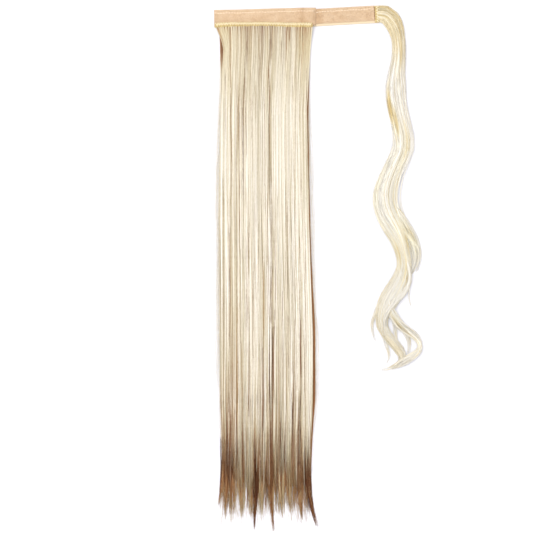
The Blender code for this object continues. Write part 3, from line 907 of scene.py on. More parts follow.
def lay_hairs(layer, hairs, along, wander, furrow):
    """The middle lines of hairs, one row for each, from how far along each point is.

    hairs holds for each hair its share of the width, its level, its end and how strongly
    it gathers towards the tip of its lock.
    """
    share, level, _, gather = hairs
    down = np.maximum(along, 0.0)
    # The clump draws its hairs in and wanders with them.
    clump, middle, offset = clump_of(layer.clumps, share)
    draw_in = 1 - 0.14 * (0.6 + 0.4 * soft_noise(clump[:, None] * 1.3, down * 9.0))
    place = np.clip(middle[:, None] + (share - middle)[:, None] * draw_in, 0.001, 0.999)
    number = np.arange(len(share))[:, None] * 1.0
    drift = soft_noise(clump[:, None] * 1.7, down * 5.0) * wander * ease(down / 0.10)
    own = soft_noise(number, down * 5.0) * HAIR_WAVER * ease(down / 0.08)
    # Past the split, each lock gathers towards its own tip.
    held = np.clip(down, 0.0, layer.split)
    lock = layer.lock_of(share)
    tip, shift = layer.locks[lock, 2][:, None], layer.locks[lock, 3][:, None]
    past = np.clip((down - layer.split) / (tip - layer.split), 0.0, 1.0)
    centre = layer.place((layer.edges[lock] + layer.edges[lock + 1])[:, None] / 2, held)
    narrow = 1 - gather[:, None] * (1 - (1 - past) ** 0.9)
    straight = layer.place(place, held)
    x = centre + (straight - centre) * narrow + shift * HAIR_WIDTH * past ** 1.5 * gather[:, None]
    fly = 0.85 * draw.normal(0, 1, clump.max() + 1)[clump] + 0.30 * draw.normal(0, 1, len(share))
    fly = TIP_FLY * fly[:, None] * ease((down - layer.split + 0.02) / 0.10)
    x = x + (drift + own) * (1 - 0.5 * past) + fly
    # The level says how high the hair lies between the floor and the surface.
    arch = CLUMP_ARCH * (1 - offset[:, None] ** 2) * ease(down / 0.05)
    full = layer.full(x, down) * (1 - TIP_FLATTENING * past) * layer.crest(place, lock[:, None])
    sway = 0.07 * soft_noise(number, down * 4.0)
    height = np.clip(level[:, None] + sway, 0.03, 1.0)
    z = layer.floor(x, down) + (full - SURFACE_MARGIN) * height * (1 - furrow) + arch * level[:, None]
    return np.stack((x, layer.root(x) - along * HAIR_LENGTH, np.maximum(z, LOWEST)), axis=-1)


print("rings along a hair:", len(RINGS))

# %% [markdown]
# The colour of the hair is told by two values stored on every hair: its shade, from the
# darkest brown at 0 to the palest cream at 1, and its warmth, from a cool grey to gold. The
# top layer is painted darker under the weft, as painted shade, is palest in the middle, and
# turns brown near the tips, sooner in some places than in others. Long thin darker streaks
# follow the partings: partly darker hairs, partly painted shade. All of it is worked out on
# a sheet of columns and rows, and hairs read it there.

# %% Tone of the top layer
ROWS = 240
BUNDLE_WIDTH = 0.0029
# share along, usual shade, warmth, and how much the strands differ
# The lower shades of the first rows, near the root, are painted shade under the weft.
BASE_TONE = (
    (0.00, 0.72, 0.32, 0.14), (0.03, 0.74, 0.32, 0.15), (0.08, 0.78, 0.30, 0.16),
    (0.12, 0.83, 0.30, 0.17), (0.20, 0.88, 0.26, 0.18), (0.42, 0.89, 0.24, 0.20),
    (0.52, 0.90, 0.24, 0.24), (0.62, 0.88, 0.26, 0.27), (0.74, 0.82, 0.32, 0.30),
    (0.82, 0.75, 0.44, 0.32), (1.00, 0.68, 0.60, 0.24))
# x, and the share along at which the hair there turns brown
BROWN_FROM = (
    (-0.050, 0.84), (-0.047, 0.81), (-0.038, 0.80), (-0.0355, 0.86), (-0.031, 0.88),
    (-0.0275, 0.88), (-0.0255, 0.80), (-0.022, 0.88), (-0.017, 0.885), (-0.014, 0.82),
    (-0.009, 0.82), (-0.005, 0.87), (0.002, 0.82), (0.008, 0.81), (0.012, 0.86), (0.020, 0.88),
    (0.027, 0.88), (0.031, 0.81), (0.034, 0.86), (0.037, 0.80), (0.040, 0.80), (0.043, 0.87),
    (0.052, 0.87))
# x at the start and the end, from, to, half width, how dark, and how warm
STREAKS = (
    (-0.0398, -0.0396, -0.02, 0.13, 0.0008, 0.30, 0.45), (-0.0396, -0.0382, 0.11, 0.27, 0.0008, 0.42, 0.60),
    (-0.0384, -0.0398, 0.25, 0.38, 0.0008, 0.30, 0.50), (-0.0400, -0.0408, 0.34, 0.64, 0.0010, 0.45, 0.40),
    (-0.0312, -0.0306, 0.10, 0.26, 0.0007, 0.34, 0.50), (-0.0256, -0.0252, 0.10, 0.36, 0.0009, 0.48, 0.45),
    (-0.0207, -0.0205, -0.02, 0.09, 0.0009, 0.30, 0.25), (-0.0069, -0.0067, 0.01, 0.10, 0.0006, 0.22, 0.40),
    (0.0069, 0.0067, -0.02, 0.08, 0.0014, 0.26, 0.25), (0.0039, 0.0054, 0.06, 0.28, 0.0010, 0.42, 0.55),
    (0.0054, 0.0078, 0.25, 0.46, 0.0016, 0.30, 0.30), (0.0078, 0.0064, 0.44, 0.62, 0.0013, 0.34, 0.30),
    (0.0054, 0.0056, 0.60, 0.79, 0.0007, 0.72, 0.30), (0.0080, 0.0082, 0.58, 0.79, 0.0007, 0.60, 0.30),
    (0.0066, 0.0066, 0.77, 0.92, 0.0018, 0.50, 0.60), (0.0102, 0.0100, 0.53, 0.76, 0.0006, 0.42, 0.40),
    (-0.0426, -0.0428, 0.81, 0.91, 0.0016, 0.60, 0.60), (-0.0262, -0.0256, 0.77, 0.88, 0.0010, 0.55, 0.60),
    (0.0372, 0.0370, 0.84, 0.93, 0.0010, 0.62, 0.50), (-0.0060, -0.0058, 0.80, 0.90, 0.0020, 0.40, 0.60),
    (0.0305, 0.0322, 0.72, 0.84, 0.0006, 0.66, 0.30), (0.0181, 0.0181, 0.77, 0.84, 0.0006, 0.55, 0.40),
    (0.0029, 0.0027, 0.28, 0.54, 0.0006, 0.22, 0.45), (-0.0023, -0.0010, 0.43, 0.66, 0.0008, 0.26, 1.00),
    (-0.0022, -0.0020, 0.62, 0.83, 0.0007, 0.45, 0.50), (-0.0187, -0.0187, 0.42, 0.50, 0.0006, 0.25, 0.50),
    (-0.0183, -0.0183, 0.62, 0.79, 0.0006, 0.32, 0.45), (0.0187, 0.0185, 0.02, 0.08, 0.0006, 0.32, 0.45),
    (0.0247, 0.0245, -0.01, 0.07, 0.0006, 0.24, 0.45), (0.0281, 0.0281, -0.02, 0.03, 0.0008, 0.34, 0.50),
    (0.0432, 0.0430, -0.01, 0.07, 0.0042, 0.10, 0.65), (0.0337, 0.0337, 0.27, 0.38, 0.0007, 0.30, 0.45),
    (0.0393, 0.0398, 0.40, 0.56, 0.0008, 0.36, 0.55), (0.0400, 0.0418, 0.54, 0.72, 0.0011, 0.52, 0.50),
    (0.0408, 0.0384, 0.71, 0.90, 0.0011, 0.80, 0.40), (0.0317, 0.0317, 0.61, 0.69, 0.0006, 0.28, 0.50),
    (0.0353, 0.0353, 0.61, 0.69, 0.0006, 0.28, 0.50), (0.0323, 0.0318, 0.70, 0.92, 0.0010, 0.56, 0.50),
    (-0.0320, -0.0322, 0.55, 0.80, 0.0012, 0.28, 0.80), (-0.0282, -0.0245, 0.58, 0.79, 0.0011, 0.28, 0.55),
    (-0.0427, -0.0425, 0.62, 0.82, 0.0007, 0.32, 0.30), (0.0172, 0.0172, 0.64, 0.85, 0.0005, 0.24, 0.50),
    (0.0207, 0.0207, 0.64, 0.85, 0.0005, 0.20, 0.50), (-0.0107, -0.0107, 0.10, 0.19, 0.0006, 0.24, 0.45),
    (0.0299, 0.0299, 0.16, 0.55, 0.0006, 0.20, 0.45), (-0.0326, -0.0326, 0.28, 0.55, 0.0007, 0.18, 0.45),
    (-0.0250, -0.0250, 0.34, 0.46, 0.0006, 0.20, 0.45), (-0.0478, -0.0478, 0.28, 0.66, 0.0006, 0.25, 0.25))
STREAK_STRENGTH, STREAK_WIDENING, STREAK_WAVER = 1.15, 0.75, 0.0003
# x, half width and depth of the darker clusters at the tips
TIP_CLUSTERS = ((-0.0405, 0.0030, 0.20), (-0.0115, 0.0028, 0.28), (0.0068, 0.0026, 0.16),
                (0.0480, 0.0045, 0.34), (0.0385, 0.0022, 0.16))


def sheet_of(layer):
    """The place of every column and row of a layer's colour sheet."""
    along = np.linspace(0.0, 1.0, ROWS)[None]
    share = (np.arange(COLUMNS)[:, None] + 0.5) / COLUMNS
    return layer.place(share, along), along + 0 * share


def streak_middle(x_from, x_to, along, t):
    """Where a streak runs: a straight line with a slight waver."""
    waver = STREAK_WAVER * np.sin(along * 31 + x_from * 4000)
    return x_from + (x_to - x_from) * np.clip(t, 0.0, 1.0) + waver


def brush_streaks(x, along, shade, warm):
    """Darkens long thin streaks, partly darker hair and partly painted shade in the partings, and gives back
    how deep each lies as a furrow.
    """
    furrow = np.zeros_like(shade)
    for x_from, x_to, start, end, width, dark, warmth in STREAKS:
        t = (along - start) / (end - start)
        aside = (x - streak_middle(x_from, x_to, along, t)) / (STREAK_WIDENING * width)
        part = np.exp(-aside ** 2) * ease(t / 0.16) * ease((1 - t) / 0.16)
        shade = shade * (1 - min(STREAK_STRENGTH * dark, 0.90) * part)
        warm = warm + (warmth - warm) * part
        furrow = np.maximum(furrow, part * dark)
    return shade, warm, furrow


def strand_values(along, columns, cells):
    """A value for each strand, a few columns wide, that changes slowly along it."""
    strand = (np.cumsum(draw.uniform(0.5, 1.5, COLUMNS)) / columns).astype(int)
    return soft_noise(strand[:, None] * 1.0, along * cells)


def strand_tones(along):
    """How much lighter or darker each strand is: mostly a little, here and there a dark line."""
    dark_line = np.clip(-strand_values(along, 3.0, 6) - 0.62, 0, 1)
    tones = 0.95 * strand_values(along, 3.4, 4) + 0.25 * strand_values(along, 6, 4)
    return np.where(tones > 0, 0.70 * tones, tones) - 2.6 * dark_line + 0.06


def turn_brown(x, along, shade, warm):
    """Towards the tips the blonde gives way to brown."""
    start = read_off(BROWN_FROM, x) - 0.040 + 0.025 * soft_noise(x / 0.0006, 0 * along)
    brown = ease((along - start) / 0.105)
    cluster = sum(depth * np.exp(-((x - place) / width) ** 2) for place, width, depth in TIP_CLUSTERS)
    tip = 0.42 + 0.20 * ease((along - 0.90) / 0.07) - cluster + 0.38 * strand_tones(along)
    tip_warm = 0.84 + 0.16 * ease((along - 0.86) / 0.05)
    return shade + (tip - shade) * brown, warm + (tip_warm - warm) * brown


def top_tones():
    """The shade, the warmth and the furrows of the blonde layer."""
    x, along = sheet_of(top_layer)
    shade = read_off(BASE_TONE, along) + 0.022 * soft_noise(x / 0.0042, along * 2)
    shade = shade + read_off(BASE_TONE, along, 3) * strand_tones(along)
    warm = read_off(BASE_TONE, along, 2) + 0.16 * soft_noise(x / 0.0030, along * 4)
    # The left side is a little duller in the lower half.
    shade = shade - 0.05 * ease((along - 0.5) / 0.2) * ease((-0.024 - x) / 0.004)
    # Right under the weft, painted shade darkens the gaps that part the bundles sewn in side by side.
    painted_gap_shade = np.cos(x / BUNDLE_WIDTH * 2 * math.pi + 1.5 * soft_noise(x / 0.006, 0 * along))
    shade = shade - 0.90 * np.clip(painted_gap_shade - 0.50, 0, 1) * np.exp(-along / 0.010)
    # Both sides are more golden near the root.
    warm = warm + 0.45 * ease((np.abs(x + 0.001) - 0.034) / 0.010) * ease((0.14 - along) / 0.10)
    shade, warm, furrow = brush_streaks(x, along, shade, warm)
    shade, warm = turn_brown(x, along, shade, warm)
    return np.clip(shade, 0.02, 0.97), np.clip(warm, 0.0, 1.0), furrow


top_layer.sheets = top_tones()
print("top layer shade:", top_layer.sheets[0].min().round(2), "to", top_layer.sheets[0].max().round(2))

# %% [markdown]
# The lower layer is brown. It shows as a dark strand at the upper left, as a line down the
# right side that grows orange-brown and wider, and as the whole fringe of tips.

# %% Tone of the lower layer


def under_tones():
    """The shade and the warmth of the brown layer, which has no furrows."""
    x, along = sheet_of(under_layer)
    shade = 0.36 + 0.16 * strand_tones(along)
    warm = 0.70 + 0.12 * soft_noise(x / 0.003, along * 4)
    # At the left edge it is nearly as pale as the upper layer.
    pale_left = ease((-0.0455 - x) / 0.003) * ease((along - 0.065) / 0.030)
    shade = shade + (0.78 + 0.16 * strand_tones(along) - shade) * pale_left
    warm = warm + (0.20 - warm) * pale_left
    # Down the right edge it is a warm, lighter brown.
    right = ease((x - 0.043) / 0.003) * ease((0.90 - along) / 0.05)
    shade = shade + (0.47 + 0.14 * strand_tones(along) - shade) * right
    warm = warm + (0.85 + 0.15 * ease((along - 0.4) / 0.2) - warm) * right
    # Where the upper layer thins out, it takes over the blonde before it turns brown too.
    blonde = read_off(BASE_TONE, along) + read_off(BASE_TONE, along, 3) * strand_tones(along)
    lower = ease((along - 0.70) / 0.06) * (1 - right)
    shade, warm = turn_brown(x, along, shade + (blonde - shade) * lower, warm + (0.5 - warm) * lower)
    return np.clip(shade, 0.02, 1.0), np.clip(warm, 0.0, 1.0), np.zeros_like(shade)


def column_of(share):
    return np.clip((share * COLUMNS).astype(int), 0, COLUMNS - 1)


def read_sheet(sheet, column, along):
    """Values of a colour sheet for hairs of given columns, at shares along them."""
    place = np.clip(along, 0.0, 1.0) * (ROWS - 1)
    low = np.minimum(place.astype(int), ROWS - 2)
    part = place - low
    column = np.broadcast_to(column, along.shape)
    return sheet[column, low] * (1 - part) + sheet[column, low + 1] * part


under_layer.sheets = under_tones()
print("lower layer shade:", under_layer.sheets[0].min().round(2), "to", under_layer.sheets[0].max().round(2))

# %% [markdown]
# One recipe serves all the hair. Two colour ramps turn the shade into a cool and a warm
# tone, and the warmth mixes them. Fine noise, stretched along each hair, keeps any two
# hairs from being quite alike. A real hair shader can't be kept with an exported model, so
# this is the plain shader with a soft gloss, which three-sided hairs break up well.

# %% Finish of the hair
COOL = [(0.0, paint(60, 40, 30)), (0.15, paint(88, 64, 48)), (0.30, paint(121, 98, 80)),
        (0.45, paint(158, 133, 114)), (0.60, paint(188, 174, 150)), (0.75, paint(214, 205, 184)),
        (0.88, paint(236, 229, 214)), (1.0, paint(251, 247, 240))]
WARM = [(0.0, paint(70, 34, 12)), (0.15, paint(104, 60, 26)), (0.30, paint(142, 94, 52)),
        (0.45, paint(176, 128, 84)), (0.60, paint(199, 175, 132)), (0.75, paint(218, 205, 164)),
        (0.88, paint(237, 225, 195)), (1.0, paint(252, 245, 226))]
GOLDEN = [(0.0, paint(96, 66, 26)), (0.45, paint(176, 144, 84)), (0.60, paint(206, 178, 116)),
          (0.75, paint(228, 207, 152)), (0.88, paint(244, 230, 190)), (1.0, paint(254, 249, 226))]


def hair_finish(name, roughness, specular, warm_tones, grains, unevenness):
    """Hair of two ranges of tone, with so many grains along each hair and so strong."""
    material, wire, shader = new_finish(name, roughness, specular=specular)
    shade, warm = wire.attribute("shade"), wire.attribute("warm")
    column, along = wire.attribute("column"), wire.attribute("along")
    place = wire.node("ShaderNodeCombineXYZ", inputs={0: column * (COLUMNS * 2.0), 1: along * grains})
    grain = place.noise(1.0, 3.0, "2D")
    tone = shade + (grain - 0.5) * unevenness
    wire_to(shader, "Base Color", wire.mixed(tone.ramp(COOL), tone.ramp(warm_tones), warm))
    wire_to(shader, "Roughness", roughness - 0.06 + grain * 0.12)
    return material


straight_hair = hair_finish("straight_hair", 0.45, 0.20, WARM, 150.0, 0.18)
print("finish:", straight_hair.name)

# %% [markdown]
# Under the loose hairs each layer has a filled body, as the mass of hair below has in
# truth: without it the table would shine through. It follows the same locks a little lower
# down and stops where the layer parts into tips. Its points read the same colour sheet, a
# little darker as painted shade.

# %% Filled body of a layer
BODY_LEVEL = 0.80
BODY_CELLS = 7
BODY_MARGIN = 0.0003


def add_body(skein, layer, stop, ragged):
    """A closed sheet with a groove between locks, that fills a layer from below.

    It ends unevenly, at stop give or take ragged, and thins out before its end.
    """
    shade, warm, furrow = layer.sheets
    cells = [np.linspace(a, b, BODY_CELLS + 1) for a, b in zip(layer.edges, layer.edges[1:])]
    shares = np.unique(np.concatenate(cells).clip(0.004, 0.996))
    stops = stop + ragged * soft_noise(shares * 45, 0.0)
    steps = np.concatenate((np.linspace(-0.002, 0.06, 8), np.linspace(0.09, 1.0, 46)))[:, None]
    along = steps * stops
    down = np.maximum(along, 0.0)
    x = layer.place(shares, down)
    column = column_of(shares)
    sunk = read_sheet(furrow, column, down)
    thin = 1 - 0.94 * ease((down - stops + 0.12) / 0.12)
    base = layer.floor(x, down)
    full = layer.full(x, down) * layer.crest(shares, layer.lock_of(shares))
    height = (full - BODY_MARGIN) * BODY_LEVEL * (1 - 0.5 * sunk) * thin
    y = layer.root(x) - along * HAIR_LENGTH
    upper = np.stack((x, y, base + np.maximum(height, LOWEST)), axis=-1)
    lower = np.stack((x, y, base + 0.0001), axis=-1)
    points, faces = closed_sheet(upper, lower, reverse=True)
    both = np.concatenate((down, down[:, ::-1]), axis=1).ravel()
    columns_twice = np.tile(np.concatenate((column, column[::-1])), len(x))
    share_twice = 0.5 + 0.5 * np.tile(np.concatenate((shares, shares[::-1])), len(x))
    # Painted shade: the body is 0.06 darker than its sheet.
    skein.add(points, faces, np.stack((share_twice, both), axis=1),
              shade=read_sheet(shade, columns_twice, both) - 0.06,
              warm=read_sheet(warm, columns_twice, both), column=share_twice, along=both)


print("body level:", BODY_LEVEL)

# %% [markdown]
# Now the hairs themselves. Most lie near the surface, where they are seen, and some deeper
# down to fill the tips. Each ends somewhere before its lock's tip: the blonde ones anywhere,
# the brown ones later near the middle of their lock, which gives it a ragged point. A hair
# narrows towards its end.

# %% Blonde top layer
HAIR_RADIUS = 0.00019
TOP_HAIRS = 1800
HAIR_NAMES = ("shade", "warm", "column", "along")


def hair_levels(count):
    """Most hairs lie near the surface of their layer."""
    near = draw.uniform(0, 1, count) < 0.72
    return np.where(near, draw.uniform(0.86, 1.0, count), draw.uniform(0.10, 0.9, count))


def top_hairs(count):
    """Share of the width, level, end and gathering of the blonde hairs, whose ends scatter."""
    share = draw.uniform(0.004, 0.996, count)
    tip = top_layer.locks[top_layer.lock_of(share), 2]
    end = tip + 0.012 - (tip - top_layer.split + 0.05) * draw.uniform(0, 1, count) ** 0.9
    return share, hair_levels(count), end, 0.45 * draw.uniform(0, 1, count) ** 1.5


def under_hairs(count):
    """The same for the brown hairs, which gather into pointed locks, with loose ones between."""
    share = draw.uniform(0.004, 0.996, count)
    lock = under_layer.lock_of(share)
    tip = under_layer.locks[lock, 2]
    gather = 0.75 * draw.uniform(0, 1, count)
    off_middle = np.abs(2 * under_layer.inside(share, lock) - 1)
    back = 0.60 * off_middle ** 1.2 + 0.65 * draw.uniform(0, 1, count)
    gathered_end = tip - (tip - under_layer.split) * back
    loose_end = draw.uniform(0.880, 0.976, count)
    return share, hair_levels(count), gather * gathered_end + (1 - gather) * loose_end, gather


def add_hairs(skein, layer, hairs, along, wander):
    """The hairs of a layer as tubes, which read their tones off its sheets."""
    shade, warm, furrow = layer.sheets
    share, _, ends, _ = hairs
    count = len(share)
    column = column_of(share)[:, None]
    down = np.maximum(along, 0.0)
    lines = lay_hairs(layer, hairs, along, wander, 0.45 * read_sheet(furrow, column, down))
    clump, _, offset = clump_of(layer.clumps, share)
    # Painted shade: hairs at the edges of each clump are darker, as the furrows between clumps are shaded.
    painted_parting_shade = (draw.uniform(0, 0.45, len(layer.clumps)) ** 1.5)[clump] * offset ** 4
    tone = read_sheet(shade, column, down) - (painted_parting_shade + draw.uniform(-0.03, 0.03, count))[:, None]
    near_end = ease((along / ends[:, None] - 0.84) / 0.16)
    radii = HAIR_RADIUS * draw.uniform(0.75, 1.25, count)[:, None] * (1 - 0.62 * near_end)
    skein.add_tubes(lines, radii, shade=np.clip(tone, 0.02, 1.0), warm=read_sheet(warm, column, down),
                    column=(column + 0.25) / COLUMNS * 0.5, along=down)


top_layer.clumps = clumps_across(0.0007, 0.0021)
for name, with_body in (("blonde_locks", True), ("blonde_strands", False)):
    skein = Skein(*HAIR_NAMES)
    if with_body:
        add_body(skein, top_layer, 0.79, 0.04)
    hairs = top_hairs(TOP_HAIRS)
    add_hairs(skein, top_layer, hairs, hairs[2][:, None] * RINGS, 0.0003)
    skein.piece(name, straight_hair, ["top_hair"], "blonde_hair")

# %% [markdown]
# Darker hairs lie among the blonde ones, in thin strands of two or more. They follow the
# streaks of the colour sheet, which alone would look soft: real hairs give crisp lines. Many
# finer strands, some darker and some paler, lie between them wherever chance puts them. Each
# strand lies on the surface of the top layer and thins out at both ends.

# %% Single strands on the top layer
FINE_STRANDS = 190
STRAND_PITCH = 0.00035
STRAND_WAVER = 0.0002
STRAND_SINK = 0.0002


def add_strand(skein, x_from, x_to, start, end, width, dark, warmth):
    """A few hairs side by side along one streak, which lie on the top layer."""
    count = 2 + int(width / STRAND_PITCH)
    first = max(start, 0.004)
    begin = first + (end - first) * draw.uniform(0.0, 0.30, (count, 1))
    stop = end - (end - first) * draw.uniform(0.0, 0.30, (count, 1))
    along = begin + (stop - begin) * np.linspace(0.0, 1.0, 12)
    t = (along - first) / (end - first)
    aside = width * 0.55 * draw.normal(0, 1, (count, 1))
    waver = STRAND_WAVER * soft_noise(np.arange(count)[:, None] * 1.0, t * 4)
    x = streak_middle(x_from, x_to, along, t) + aside + waver
    left, right = top_layer.side(along, 1), top_layer.side(along, 2)
    share = np.clip((x - left) / (right - left), 0.01, 0.99)
    full = top_layer.full(x, along) * top_layer.crest(share, top_layer.lock_of(share))
    flatter = 1 - 0.5 * ease((along - top_layer.split) / 0.08)
    z = top_floor(x, along) + full * flatter - STRAND_SINK
    tone = read_off(BASE_TONE, along) * (1 - 1.15 * dark) + draw.uniform(-0.07, 0.07, (count, 1))
    radii = HAIR_RADIUS * draw.uniform(0.70, 1.15, (count, 1)) * (1 - 0.8 * (2 * t - 1) ** 4)
    skein.add_tubes(np.stack((x, top_root(x) - along * HAIR_LENGTH, z), axis=-1), radii,
                    shade=np.clip(tone, 0.03, 1.0), warm=warmth, column=0.2, along=along)


skein = Skein(*HAIR_NAMES)
for row in STREAKS:
    add_strand(skein, *row)
for x in draw.uniform(-0.049, 0.051, FINE_STRANDS):
    start = draw.uniform(0.0, 0.76)
    end = min(start + draw.uniform(0.12, 0.45), 0.93)
    dark = draw.uniform(0.12, 0.46) if draw.uniform() < 0.62 else draw.uniform(-0.14, -0.06)
    add_strand(skein, x, x + draw.normal(0, 0.0012), start, end, draw.uniform(0.0002, 0.0005), dark, 0.35)
skein.piece("single_strands", straight_hair, ["top_hair"], "blonde_hair")

# %% [markdown]
# The brown layer is made in the same way. A thousand shorter hairs start near the ends of
# the blonde ones and make its lower end denser, since only that part of it is seen.

# %% Brown lower layer
UNDER_HAIRS, FRINGE_HAIRS = 1500, 1000

under_layer.clumps = clumps_across(0.0008, 0.0022)
skein = Skein(*HAIR_NAMES)
add_body(skein, under_layer, 0.87, 0.035)
hairs = under_hairs(UNDER_HAIRS)
add_hairs(skein, under_layer, hairs, hairs[2][:, None] * RINGS, 0.0005)
hairs = under_hairs(FRINGE_HAIRS)
starts = draw.uniform(0.76, 0.85, FRINGE_HAIRS)
fringe = (starts + (hairs[2] - starts) * FRINGE_RINGS[:, None]).T
add_hairs(skein, under_layer, hairs, fringe, 0.0008)
skein.piece("brown_locks", straight_hair, ["under_hair"], "brown_hair")

# %% [markdown]
# The fringe of tips isn't even: thirteen tufts reach further down, each drawn to a point,
# the outer ones leaning outwards, and two of them much darker and fuller than the rest. A
# table gives each tuft its place and lean, and its hairs start well inside the lower layer.
# Between the tufts, single fly-away hairs leave the fringe and bend aside.

# %% Tufts at the tips
# x at its root and its tip, where it ends, half width at its root, hairs, and shade
TUFTS = (
    (-0.0472, -0.0537, 0.950, 0.0050, 60, 0.26), (-0.0440, -0.0460, 0.976, 0.0046, 60, 0.22),
    (-0.0383, -0.0393, 0.966, 0.0044, 40, 0.32), (-0.0278, -0.0280, 0.976, 0.0052, 30, 0.40),
    (-0.0095, -0.0124, 0.998, 0.0062, 110, 0.10), (-0.0029, -0.0030, 0.982, 0.0042, 26, 0.38),
    (0.0046, 0.0100, 1.002, 0.0044, 56, 0.26), (0.0135, 0.0210, 0.982, 0.0044, 28, 0.40),
    (0.0207, 0.0297, 0.970, 0.0044, 28, 0.40), (0.0345, 0.0430, 0.980, 0.0046, 56, 0.28),
    (0.0412, 0.0422, 0.990, 0.0040, 46, 0.24), (0.0450, 0.0600, 0.994, 0.0074, 130, 0.06),
    (0.0480, 0.0530, 0.958, 0.0040, 40, 0.22))
TUFT_START = 0.84
TUFT_SCATTER = 0.0007
FLYAWAYS = 170
FLYAWAY_RADIUS = 0.00019


def add_tuft(skein, x_from, x_to, end, half_width, count, shade):
    """Hairs that start side by side and run to one point, some of them ending on the way."""
    aside = draw.normal(0, 0.5, (count, 1))
    start = TUFT_START + draw.uniform(-0.03, 0.03, (count, 1))
    last = end - (end - 0.88) * (0.90 * draw.uniform(0, 1, (count, 1)) ** 1.2)
    along = start + (last - start) * FRINGE_RINGS
    t = np.clip((along - TUFT_START) / (end - TUFT_START), 0.0, 1.0)
    x = x_from + (x_to - x_from) * t ** 1.6 + aside * half_width * (1 - 0.90 * t ** 0.8)
    x = x + draw.normal(0, TUFT_SCATTER, (count, 1)) * t ** 2
    lift = under_layer.full(x, along) * (0.55 + 0.45 * draw.uniform(0, 1, (count, 1))) * (1 - 0.5 * t)
    y = under_root(x) - along * HAIR_LENGTH
    taper = 1 - 0.65 * ease((FRINGE_RINGS - 0.6) / 0.4)
    radii = HAIR_RADIUS * draw.uniform(0.65, 1.20, (count, 1)) * taper
    tone = shade - 0.05 + 0.32 * t ** 3 + draw.uniform(-0.08, 0.10, (count, 1))
    tone = tone + 0.14 * soft_noise(aside * 4, 0 * aside)
    skein.add_tubes(np.stack((x, y, np.maximum(lift, 0.0003)), axis=-1), radii,
                    shade=np.clip(tone, 0.03, 1.0), warm=0.85 + 0.15 * t,
                    column=draw.uniform(0.05, 0.45, (count, 1)), along=along)


def add_flyaways(skein, count):
    """Single hairs that leave the fringe and bend aside between the tufts."""
    t = np.linspace(0.0, 1.0, 9)
    start = draw.uniform(0.885, 0.935, (count, 1))
    last = np.maximum(start + 0.03, draw.uniform(0.945, 0.990, (count, 1)))
    along = start + (last - start) * t
    x_from = draw.uniform(-0.048, 0.051, (count, 1))
    x = x_from + (0.06 * x_from + draw.normal(0, 0.0035, (count, 1))) * t ** 1.8
    z = 0.0003 + 0.0006 * np.sin(t * math.pi) + 0 * x
    tone = draw.uniform(0.34, 0.62, (count, 1)) + 0.10 * t
    skein.add_tubes(np.stack((x, under_root(x) - along * HAIR_LENGTH, z), axis=-1),
                    FLYAWAY_RADIUS * (1 - 0.6 * t), shade=tone, warm=0.95, column=0.3, along=along)


skein = Skein(*HAIR_NAMES)
for row in TUFTS:
    add_tuft(skein, *row)
add_flyaways(skein, FLYAWAYS)
skein.piece("brown_tufts", straight_hair, ["under_hair"], "brown_hair")

# %% [markdown]
# Some pale hairs stand off from both sides of the mass and lie singly on the table. They
# leave its edge, bow outwards by a few millimetres, and come back or trail off lower down.

# %% Loose strands beside the hair
LOOSE_POINTS = 14
LOOSE_RADIUS = 0.00013
LOOSE_LEFT, LOOSE_RIGHT = 60, 40


def add_loose(skein, column, outward, count):
    """Loose hairs at one side: column is the side's place in the layer's rows."""
    t = np.linspace(0.0, 1.0, LOOSE_POINTS)[None]
    start = draw.uniform(0.04, 0.62, count)[:, None]
    along = start + draw.uniform(0.16, 0.34, count)[:, None] * t
    reach = draw.uniform(0.0006, 0.0060, (count, 1))
    bow = reach * np.sin(t * math.pi * draw.uniform(0.55, 1.0, (count, 1)))
    x = under_layer.side(along, column) + outward * (bow - 0.0010)
    y = under_root(x) - along * HAIR_LENGTH
    z = 0.0006 + 0.0006 * np.sin(t * math.pi) + 0 * x
    skein.add_tubes(np.stack((x, y, z), axis=-1), LOOSE_RADIUS * (1 - 0.5 * t), shade=0.93, warm=0.35,
                    column=0.1, along=along)


skein = Skein(*HAIR_NAMES)
add_loose(skein, 1, -1, LOOSE_LEFT)
add_loose(skein, 2, 1, LOOSE_RIGHT)
skein.piece("loose_strands", straight_hair, slot="blonde_hair")

# %% [markdown]
# The long wavy strand grows out of the short weft, falls in soft waves and ends in loose
# curls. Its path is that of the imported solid: rows of sideways place, way down, width and
# depth, all as shares of the strand's sizes. Its side curl, crossing lock and end loop have
# such rows too, and so do the thin wisps that leave it.

# %% Path of the wavy strand
WRAP_DROP, WRAP_SWAY, WRAP_WIDTH, WRAP_DEPTH = 0.406, 0.0322, 0.0285, 0.0065
# sideways place, way down, width and depth
WRAP_BODY = (
    (0.26, 0.002, 0.77, 0.50), (0.51, 0.026, 0.73, 0.62), (0.66, 0.061, 0.58, 0.85),
    (0.70, 0.093, 0.50, 1.00), (0.69, 0.129, 0.50, 1.00), (0.62, 0.169, 0.60, 0.92),
    (0.59, 0.209, 0.79, 0.76), (0.63, 0.254, 0.77, 0.76), (0.74, 0.305, 0.74, 0.80),
    (0.85, 0.350, 0.81, 0.80), (0.84, 0.384, 0.83, 0.86), (0.63, 0.421, 0.79, 0.95),
    (0.39, 0.464, 0.85, 0.90), (0.21, 0.515, 1.00, 0.76), (0.30, 0.563, 0.98, 0.76),
    (0.57, 0.608, 0.89, 0.85), (0.73, 0.642, 0.66, 1.00), (0.86, 0.679, 0.55, 1.00),
    (0.90, 0.713, 0.56, 0.95), (0.80, 0.744, 0.65, 0.90), (0.57, 0.781, 0.77, 0.80),
    (0.30, 0.815, 0.79, 0.75), (0.11, 0.849, 0.58, 0.80), (0.08, 0.880, 0.48, 0.75),
    (0.23, 0.906, 0.42, 0.70), (0.50, 0.931, 0.40, 0.60), (0.75, 0.954, 0.42, 0.50),
    (0.86, 0.974, 0.34, 0.40), (0.75, 0.993, 0.13, 0.25))
